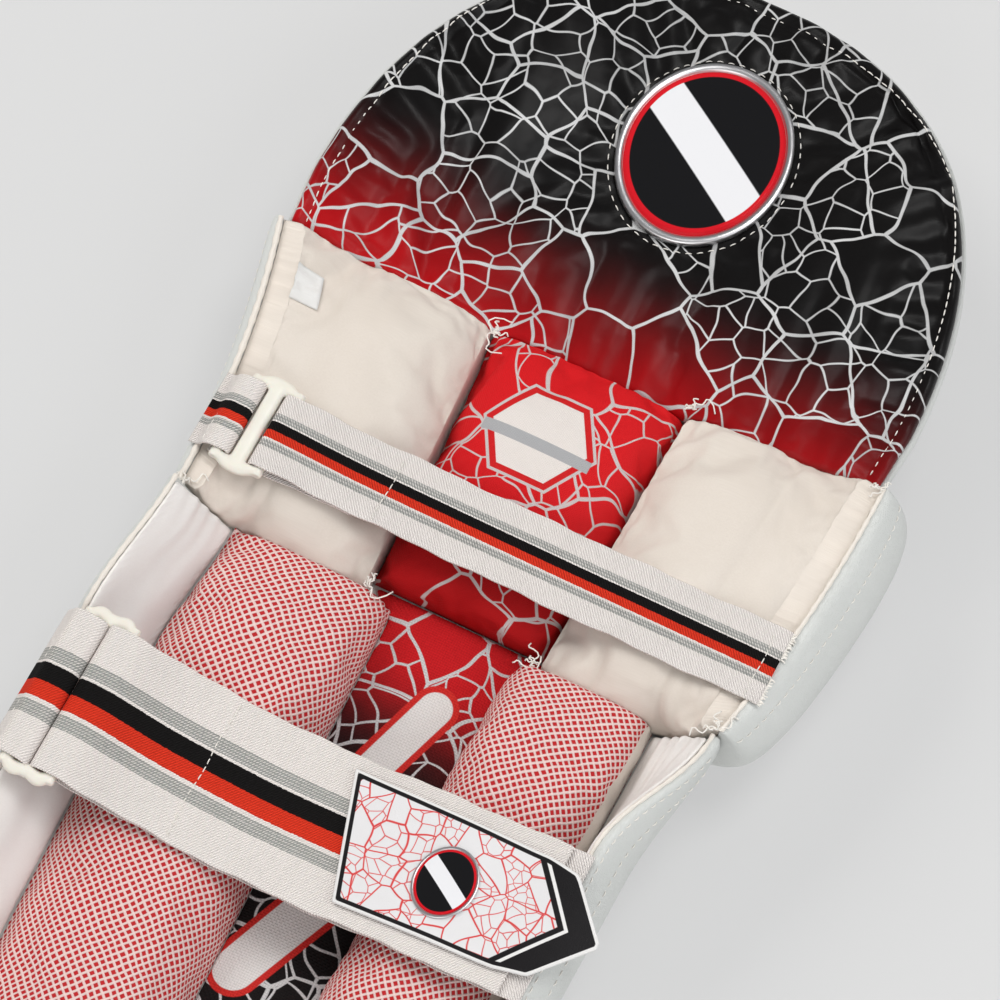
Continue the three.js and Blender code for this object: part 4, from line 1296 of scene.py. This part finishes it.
def band(name, stops, middle, width):
    """A band of webbing along a route of x and z, flat across the pad's length, with thin edges."""
    line = smooth_route(stops, 1.6)
    tangent = np.gradient(line, axis=0)
    tangent /= np.linalg.norm(tangent, axis=1, keepdims=True)
    normal = np.stack([-tangent[:, 1], tangent[:, 0]], axis=1)
    run = run_along(line)[None, :]
    across = np.sin(np.linspace(-np.pi / 2, np.pi / 2, 25))[:, None]
    waver = 0.35 * np.sin(run / 9) + 0.25 * np.sin(run / 3.7 + 1)
    y = middle + across * width / 2 + waver * np.abs(across) ** 3
    half = WEBBING / 2 * (1 - 0.25 * across**8)
    layers = []
    for turn in (-1, 1):
        x = line[None, :, 0] + turn * half * normal[None, :, 0]
        z = line[None, :, 1] + turn * half * normal[None, :, 1]
        layers.append(np.stack(np.broadcast_arrays(x, y, z), axis=-1))
    share = (1 - across) / 2
    cloth = np.stack(np.broadcast_arrays(run, share * width, share), axis=-1)
    return rounded(shell(name, *layers, webbing, cloth))


KNEE_ROUTE = (
    [(141, 79.3), (134, 79.8), (100, 79.6), (40, 79), (-20, 79), (-70, 80), (-98, 82.6)]
    + wrap_round(KNEE_BARS[2], KNEE_LOOP_Z, -1, 1.0)
    + [(-98, 77), (-62, 76.6)]
)
KNEE_TAB_ROUTE = (
    [(-145, 75), (-140.6, 75.6), (-136.6, 81.4), (-133.6, 83.4)]
    + wrap_round(KNEE_BARS[0], KNEE_LOOP_Z, 1, 1.0)
    + [(-134.5, 76.6)]
)
CALF_SAG = [(86, 82), (60, 79.4), (30, 74.4), (0, 69), (-30, 66.8), (-60, 69.4), (-85, 74)]
LAYER = 2.4
CALF_ROUTE = (
    [(110, 86), (104, 85.8), (98, 84.6)]
    + CALF_SAG
    + [(-112, 80.2)]
    + wrap_round(CALF_BARS[1], CALF_LOOP_Z, -1, 6.2)[::-1]
    + [(-112.5, 86.6)]
    + [(x, z + LAYER) for x, z in CALF_SAG[::-1]]
    + [(100, 87.4)]
)
CALF_TAB_ROUTE = (
    [(-149.4, 67.5), (-151.5, 75.4), (-150.6, 78.6), (-148, 82.4), (-145.2, 86.6)]
    + wrap_round(CALF_BARS[0], CALF_LOOP_Z, 1, 6.2)
    + [(-143.8, 80.8)]
)
for name, node, stops, strap in (
    ("knee_webbing", "knee_strap", KNEE_ROUTE, KNEE_STRAP),
    ("knee_webbing_tab", "knee_strap_tab", KNEE_TAB_ROUTE, KNEE_STRAP),
    ("calf_webbing", "calf_strap", CALF_ROUTE, CALF_STRAP),
    ("calf_webbing_tab", "calf_strap_tab", CALF_TAB_ROUTE, CALF_STRAP),
):
    stands_for(band(name, stops, **strap), node)


def nylon_finish():
    """Warm white moulded nylon, satin, with faint flow marks."""
    material, tree = start_finish("nylon")
    place = place_on_object(tree)
    clouds = noise(tree, place, 0.15)
    colour = tint(tree, clouds, (0.84, 0.785, 0.70, 1), (0.78, 0.725, 0.64, 1))
    roughness = ramp(tree, clouds, 0.2, 0.8, 0.34, 0.44)
    return end_finish(material, colour, roughness, clouds, 0.05, Subsurface_Weight=0.1)


nylon = nylon_finish()


def tubes(name, paths, radii, toward, finish, sides=6):
    """Closed tubes along many paths at once: paths[n, m] are points, radii[n, m] their thickness across and
    along `toward`, a direction that no path runs in."""
    count, length = paths.shape[:2]
    tangent = np.gradient(paths, axis=1)
    flank = np.cross(tangent, np.broadcast_to(toward, paths.shape))
    flank /= np.linalg.norm(flank, axis=2, keepdims=True)
    rise = np.cross(flank, tangent)
    rise /= np.linalg.norm(rise, axis=2, keepdims=True)
    angle = np.linspace(0, 2 * np.pi, sides, endpoint=False)
    wide, tall = (np.broadcast_to(r, (count, length))[..., None, None] for r in radii)
    ring = (
        paths[:, :, None]
        + wide * np.cos(angle)[:, None] * flank[:, :, None]
        + tall * np.sin(angle)[:, None] * rise[:, :, None]
    )
    index = np.arange(count * length * sides).reshape(count, length, sides)
    after = np.roll(index, -1, axis=2)
    walls = np.stack([index[:, :-1], after[:, :-1], after[:, 1:], index[:, 1:]], axis=-1).reshape(-1, 4)
    ends = np.concatenate([index[:, 0, ::-1], index[:, -1]])
    return piece(name, ring.reshape(-1, 3), [walls, ends], finish)


def moulded_loop(name, node, bars, bar_half, lobes):
    """A rounded rectangular loop with bars along the pad's length, and one or two lobes on each end; its
    tubes are grown into one moulding."""
    middle, half = middle_and_half(node)
    half = half - np.array([BAR_HALF, BAR_HALF, 0])
    angle = np.linspace(0, 2 * np.pi, 241) + 0.01
    x = half[0] * np.sign(np.cos(angle)) * np.abs(np.cos(angle)) ** 0.34
    y = half[1] * np.sign(np.sin(angle)) * np.abs(np.sin(angle)) ** 0.34
    wave = -np.cos(np.pi * x / half[0]) if lobes == 1 else np.cos(np.pi * x / (0.62 * half[0]))
    dip = 0.9 * (1 + wave) * np.abs(np.sin(angle)) ** 4
    lap = np.stack([x, y - np.sign(y) * dip, 0 * angle], axis=1)
    ring = evenly(middle + lap, 1.0)
    end_share = np.abs(ring[:, 1] - middle[1]) / half[1]
    along = np.linspace(-1, 1, len(ring))
    paths = [ring]
    widths = [BAR_HALF + 1.0 * smooth(end_share, 0.9, 1.0)]
    for bar_x, bar_width in zip(bars, bar_half):
        bar = np.broadcast_arrays(bar_x, middle[1] + half[1] * along, middle[2])
        paths.append(np.stack(bar, axis=1))
        widths.append(np.full(len(ring), bar_width))
    loop = tubes(name, np.stack(paths), (np.stack(widths), LOOP_HALF_THICK + 0.4), (0, 0, 1), nylon, sides=16)
    grown = loop.modifiers.new("moulding", "REMESH")
    grown.mode = "VOXEL"
    grown.voxel_size = 0.6 * MM
    grown.use_smooth_shade = True
    eased = loop.modifiers.new("eased", "SMOOTH")
    eased.factor = 0.5
    eased.iterations = 6
    stands_for(loop, node)


moulded_loop("knee_nylon_loop", "knee_strap_loop", KNEE_BARS, (BAR_HALF, 4.0, BAR_HALF), lobes=1)
moulded_loop("calf_nylon_loop", "calf_strap_loop", CALF_BARS, (BAR_HALF, BAR_HALF), lobes=2)

# A pointed leatherette patch is sewn over the calf strap's end. It is white with fine red lines, a black
# border, two black panels along its point, and a small plain badge like the flap's.
PATCH_THICK = 1.6
PATCH_RISE = 4.8
PATCH_FOOT = 16.0
PATCH_TOP = -4.0
PATCH_TIP = 129.5
PATCH_HALVES = ((-10, 93, 108, PATCH_TIP), (30.5, 28.2, 25.5, 1.2))
POINT_RUN = 21.5
POINT_HALF = 26.0
PATCH_SPINE = [(PATCH_TIP, 86.4), (112, 86.2), (100, 85)] + CALF_SAG


def edge_distance(points, outline):
    """Distance of points from a closed outline, both of x and y."""
    start = outline[None]
    run = np.roll(outline, -1, axis=0)[None] - start
    offset = points[:, None] - start
    share = np.clip((offset * run).sum(axis=2) / np.maximum((run**2).sum(axis=2), 1e-9), 0, 1)
    return np.linalg.norm(offset - share[..., None] * run, axis=2).min(axis=1)


def patch_finish():
    """White leatherette printed with a network of thin red lines, a black border and black panels."""
    material, tree = start_finish("patch_print")
    place = place_on_object(tree)
    cloth = tree_axes(tree, place_on_cloth(tree))
    grain = use_group(tree, leather_grain, place, 0.8)
    ground = tint(tree, grain["Clouds"], (0.73, 0.72, 0.725, 1), (0.68, 0.67, 0.68, 1))
    lines = use_group(tree, line_network, place, 13.0, 0.75)["Line"]
    colour = tint(tree, lines, ground, (0.62, 0.05, 0.05, 1))
    black = (0.012, 0.011, 0.012, 1)
    white = (0.74, 0.73, 0.72, 1)
    for distance, high, paint in (
        (cloth[0], 15.0, black),
        (cloth[0], 12.5, white),
        (cloth[0], 11.0, black),
        (cloth[2], 3.4, black),
        (cloth[2], 1.5, white),
    ):
        colour = tint(tree, within(tree, distance, high, 0.15), colour, paint)
    roughness = ramp(tree, lines, 0, 1, 0.4, 0.45)
    return end_finish(material, colour, roughness, grain["Height"], 0.15, Specular_IOR_Level=0.14)


patch_side = np.linspace(-1, 1, 41)[:, None]
patch_along = np.linspace(0, 1, 81)[None, :]
patch_x = mix(mix(PATCH_FOOT, PATCH_TOP, (patch_side + 1) / 2), PATCH_TIP, patch_along)
patch_y = CALF_STRAP["middle"] + patch_side * np.interp(patch_x, *PATCH_HALVES)
patch_line = smooth_route(PATCH_SPINE, 1.0)[::-1]
patch_z = np.interp(patch_x, patch_line[:, 0], patch_line[:, 1]) + PATCH_RISE
patch_middle = np.stack([patch_x, patch_y, patch_z], axis=-1)
patch_ring = np.concatenate(
    [patch_middle[0, :-1], patch_middle[:-1, -1], patch_middle[-1, :0:-1], patch_middle[:0:-1, 0]]
)[:, :2]
patch_flat = patch_middle[..., :2].reshape(-1, 2)
from_middle = np.abs(patch_flat[:, 1] - CALF_STRAP["middle"])
from_tip = PATCH_TIP - patch_flat[:, 0]
from_point = (from_tip * POINT_HALF - from_middle * POINT_RUN) / np.hypot(POINT_HALF, POINT_RUN)
from_edge = edge_distance(patch_flat, patch_ring)
patch_cloth = np.stack([from_point, patch_flat[:, 1], from_edge], axis=1).reshape(patch_middle.shape)
patch_lift = np.array([0, 0, PATCH_THICK / 2])
patch_sides = (patch_middle - patch_lift, patch_middle + patch_lift)
patch = shell("calf_strap_patch", *patch_sides, patch_finish(), patch_cloth)
stands_for(rounded(patch), "strap_patch")

PATCH_BADGE = {"middle": (57.0, -88.0), "half": (14.5, 17.0)}


def patch_top(x, y):
    """Height of the patch's upper side."""
    return np.interp(x, patch_line[:, 0], patch_line[:, 1]) + PATCH_RISE + PATCH_THICK / 2


trim(oval_badge("calf_patch_badge", **PATCH_BADGE, seat=patch_top, edge=1.0, dome=1.0, rim=0.5))

# Seams. Pale thread is sewn in dashes along the flap's edge, round the badge, along the wings' rims and
# across the straps, and its loose ends stay at the corners of the pillows.
STITCH_TAPER = np.array([0.5, 0.95, 1, 1, 0.95, 0.5])


def thread_finish(name, light, dark):
    """Twisted sewing thread."""
    material, tree = start_finish(name)
    place = place_on_object(tree)
    clouds = noise(tree, place, 1.5, 2.0)
    colour = tint(tree, clouds, light, dark)
    return end_finish(material, colour, ramp(tree, clouds, 0, 1, 0.6, 0.8), clouds, 0.1, Sheen_Weight=0.2)


pale_thread = thread_finish("pale_thread", (0.88, 0.85, 0.80, 1), (0.76, 0.72, 0.66, 1))


def dashes(line, dash, gap, up=(0, 0, 1)):
    """Stitches along a line, and their directions up. Each is a short arc of the line, with its ends sunk."""
    run = run_along(line)
    first = np.arange(gap, run[-1] - dash, dash + gap)[:, None]
    t = np.linspace(0, 1, len(STITCH_TAPER))[None, :]
    above = at_run(first + dash * t, run, np.broadcast_to(np.array(up, dtype=float), line.shape))
    arch = (0.5 * np.sin(np.pi * t)[..., None] - 0.25) * above
    return at_run(first + dash * t, run, line) + arch, above


def sewn(name, stitches, radius):
    """Rows of stitches that ride on the pad."""
    paths, above = (np.concatenate(parts) for parts in zip(*stitches))
    radii = (radius * STITCH_TAPER, radius * 0.8 * STITCH_TAPER)
    trim(tubes(name, paths, radii, above, pale_thread))


STITCH_LIFT = 0.25
rim_share = 1 - TOPSTITCH / FLAP_HALF
rise_steps = np.linspace(-0.95, rim_share, 90)
side_steps = np.linspace(-rim_share, rim_share, 120)
still_side = np.full_like(rise_steps, rim_share)
edge_side = np.concatenate([-still_side, side_steps, still_side])
edge_up = np.concatenate([rise_steps, np.full_like(side_steps, rim_share), rise_steps[::-1]])
edge_line = on_flap(edge_side, edge_up, LINING_INSET, lining_rise)
edge_line = settle(evenly(edge_line, 2.0), flap_lining, STITCH_LIFT)
sewn("flap_topstitch", [dashes(edge_line, dash=3.6, gap=1.1)], radius=0.32)

around = np.linspace(0, 2 * np.pi, 120)
badge_ring = BADGE_MIDDLE + (BADGE_HALF + 3) * np.stack([np.cos(around), np.sin(around)], axis=1)
badge_line = settle(np.pad(badge_ring, ((0, 0), (0, 1))), flap_lining, STITCH_LIFT)
sewn("badge_stitches", [dashes(badge_line, dash=3.0, gap=2.4)], radius=0.3)


def outer_line(outside, inside, column):
    """The line of a wing's outside along a fractional column of its grid, and the directions off it."""
    rows = np.linspace(2, outside.shape[0] - 3, 200)
    columns = np.full_like(rows, column)
    line = at_grid(outside, rows, columns)
    off = line - at_grid(inside, rows, columns)
    off /= np.linalg.norm(off, axis=1, keepdims=True)
    return line + 0.15 * off, off


wing_rows = []
for sign in (-1, 1):
    for surfaces, columns in ((shin_wing(sign), (23.2, 19.4)), (knee_wing(sign), (21.6,))):
        for column in columns:
            line, off = outer_line(*surfaces, column)
            wing_rows.append(dashes(line, dash=3.2, gap=1.8, up=off))
sewn("wing_stitches", wing_rows, radius=0.32)

# Cream piping closes the wings' rims, drawn in by its stitches every few millimetres.
piping_cloth = thread_finish("piping_cloth", (0.82, 0.77, 0.70, 1), (0.74, 0.68, 0.61, 1))
piping_share = np.linspace(0, 1, 400)
piping_paths = []
piping_halves = []
for section, across, low, high, length, half in (
    (shin_section, -SHIN_GIRTH[-1], TOE_Y + 2, SHIN_Y - 1, 416.0, 1.2),
    (shin_section, SHIN_GIRTH[1], TOE_Y + 2, SHIN_Y - 1, 416.0, 1.0),
    (knee_section, -KNEE_GIRTH[-1], SHIN_Y + 1, FLAP_Y - 1, 140.0, 1.4),
    (knee_section, KNEE_GIRTH[1], SHIN_Y + 1, FLAP_Y - 1, 140.0, 1.0),
):
    run = piping_share * length
    drawn = 1 + 0.13 * np.sin(2 * np.pi * run / 7) + 0.07 * np.sin(run / 2.3 + 1)
    y = np.linspace(low, high, len(run))
    piping_paths.append(on_skin(section, np.full_like(y, across), y, -0.6))
    piping_halves.append(half * drawn)
piping_radii = (np.stack(piping_halves), np.stack(piping_halves))
piping = tubes("rim_piping", np.stack(piping_paths), piping_radii, (0.3, 0, 1), piping_cloth, sides=10)
trim(piping)

# Rows of thread across the straps hold their folded ends.
CROSS_ROWS = (
    (KNEE_STRAP, -51.3, 80.6),
    (KNEE_STRAP, -137.5, 81.2),
    (KNEE_STRAP, 134.0, 80.8),
    (CALF_STRAP, -63.3, 73.2),
    (CALF_STRAP, -148.0, 83.4),
)
cross_rows = []
for strap, x, z in CROSS_ROWS:
    y = np.linspace(-0.48, 0.48, 60) * strap["width"] + strap["middle"]
    row = np.stack([x + 0.4 * np.sin(y / 5), y, np.full_like(y, z)], axis=1)
    cross_rows.append(dashes(row, dash=3.2, gap=0.9))
sewn("strap_stitches", cross_rows, radius=0.28)

# Loose ends of the tie threads curl at the corners of the pillows.
KNOTS = [(-49.7, 166, 60), (48.6, 174, 60), (-44.5, 31, 56), (39.6, 30, 56)]
KNOTS += [on_skin(knee_section, sign * KNEE_GIRTH[sign], SHIN_Y + 1.0, 1.0) for sign in (-1, 1)]
KNOTS += [on_skin(knee_section, KNEE_GIRTH[1], FLAP_Y - 2.0, 1.0)]
STRANDS = 8
lots = np.random.default_rng(11)
t = np.linspace(0, 1, 10)[None, :]
strands = []
for knot in KNOTS:
    heading = lots.uniform(0, 2 * np.pi, STRANDS)[:, None]
    bend = lots.normal(0, 1.1, STRANDS)[:, None]
    reach = (2 + lots.exponential(3.2, STRANDS).clip(0, 11))[:, None] * t
    turn = heading + bend * t + 0.3 * np.sin(9 * t + heading)
    lift = lots.uniform(0.3, 2.6, STRANDS)[:, None] * np.sin(np.pi * 0.85 * t)
    strands.append(np.array(knot) + np.stack([reach * np.cos(turn), reach * np.sin(turn), lift], axis=-1))

# The knee strap's cut end is left raw, with a short fringe along its white parts.
FRINGE = 46
fringe_share = np.concatenate([np.linspace(-0.49, -0.13, FRINGE // 2), np.linspace(0.14, 0.49, FRINGE // 2)])
fringe_y = (KNEE_STRAP["middle"] + fringe_share * KNEE_STRAP["width"])[:, None]
fringe_out = lots.uniform(0.8, 2.8, FRINGE)[:, None] * t
fringe_side = lots.normal(0, 0.7, FRINGE)[:, None] * t**2
fringe_fall = lots.uniform(-0.9, 0.5, FRINGE)[:, None] * t
end_x, end_z = KNEE_ROUTE[0]
fringe = (end_x - 0.3 + fringe_out, fringe_y + fringe_side, end_z + fringe_fall)
strands.append(np.stack(fringe, axis=-1))
STRAND_RADII = (0.36, 0.36)
STRAND_UP = (0.1, 0.2, 1)
loose = tubes("loose_threads", np.concatenate(strands), STRAND_RADII, STRAND_UP, pale_thread)
trim(loose)
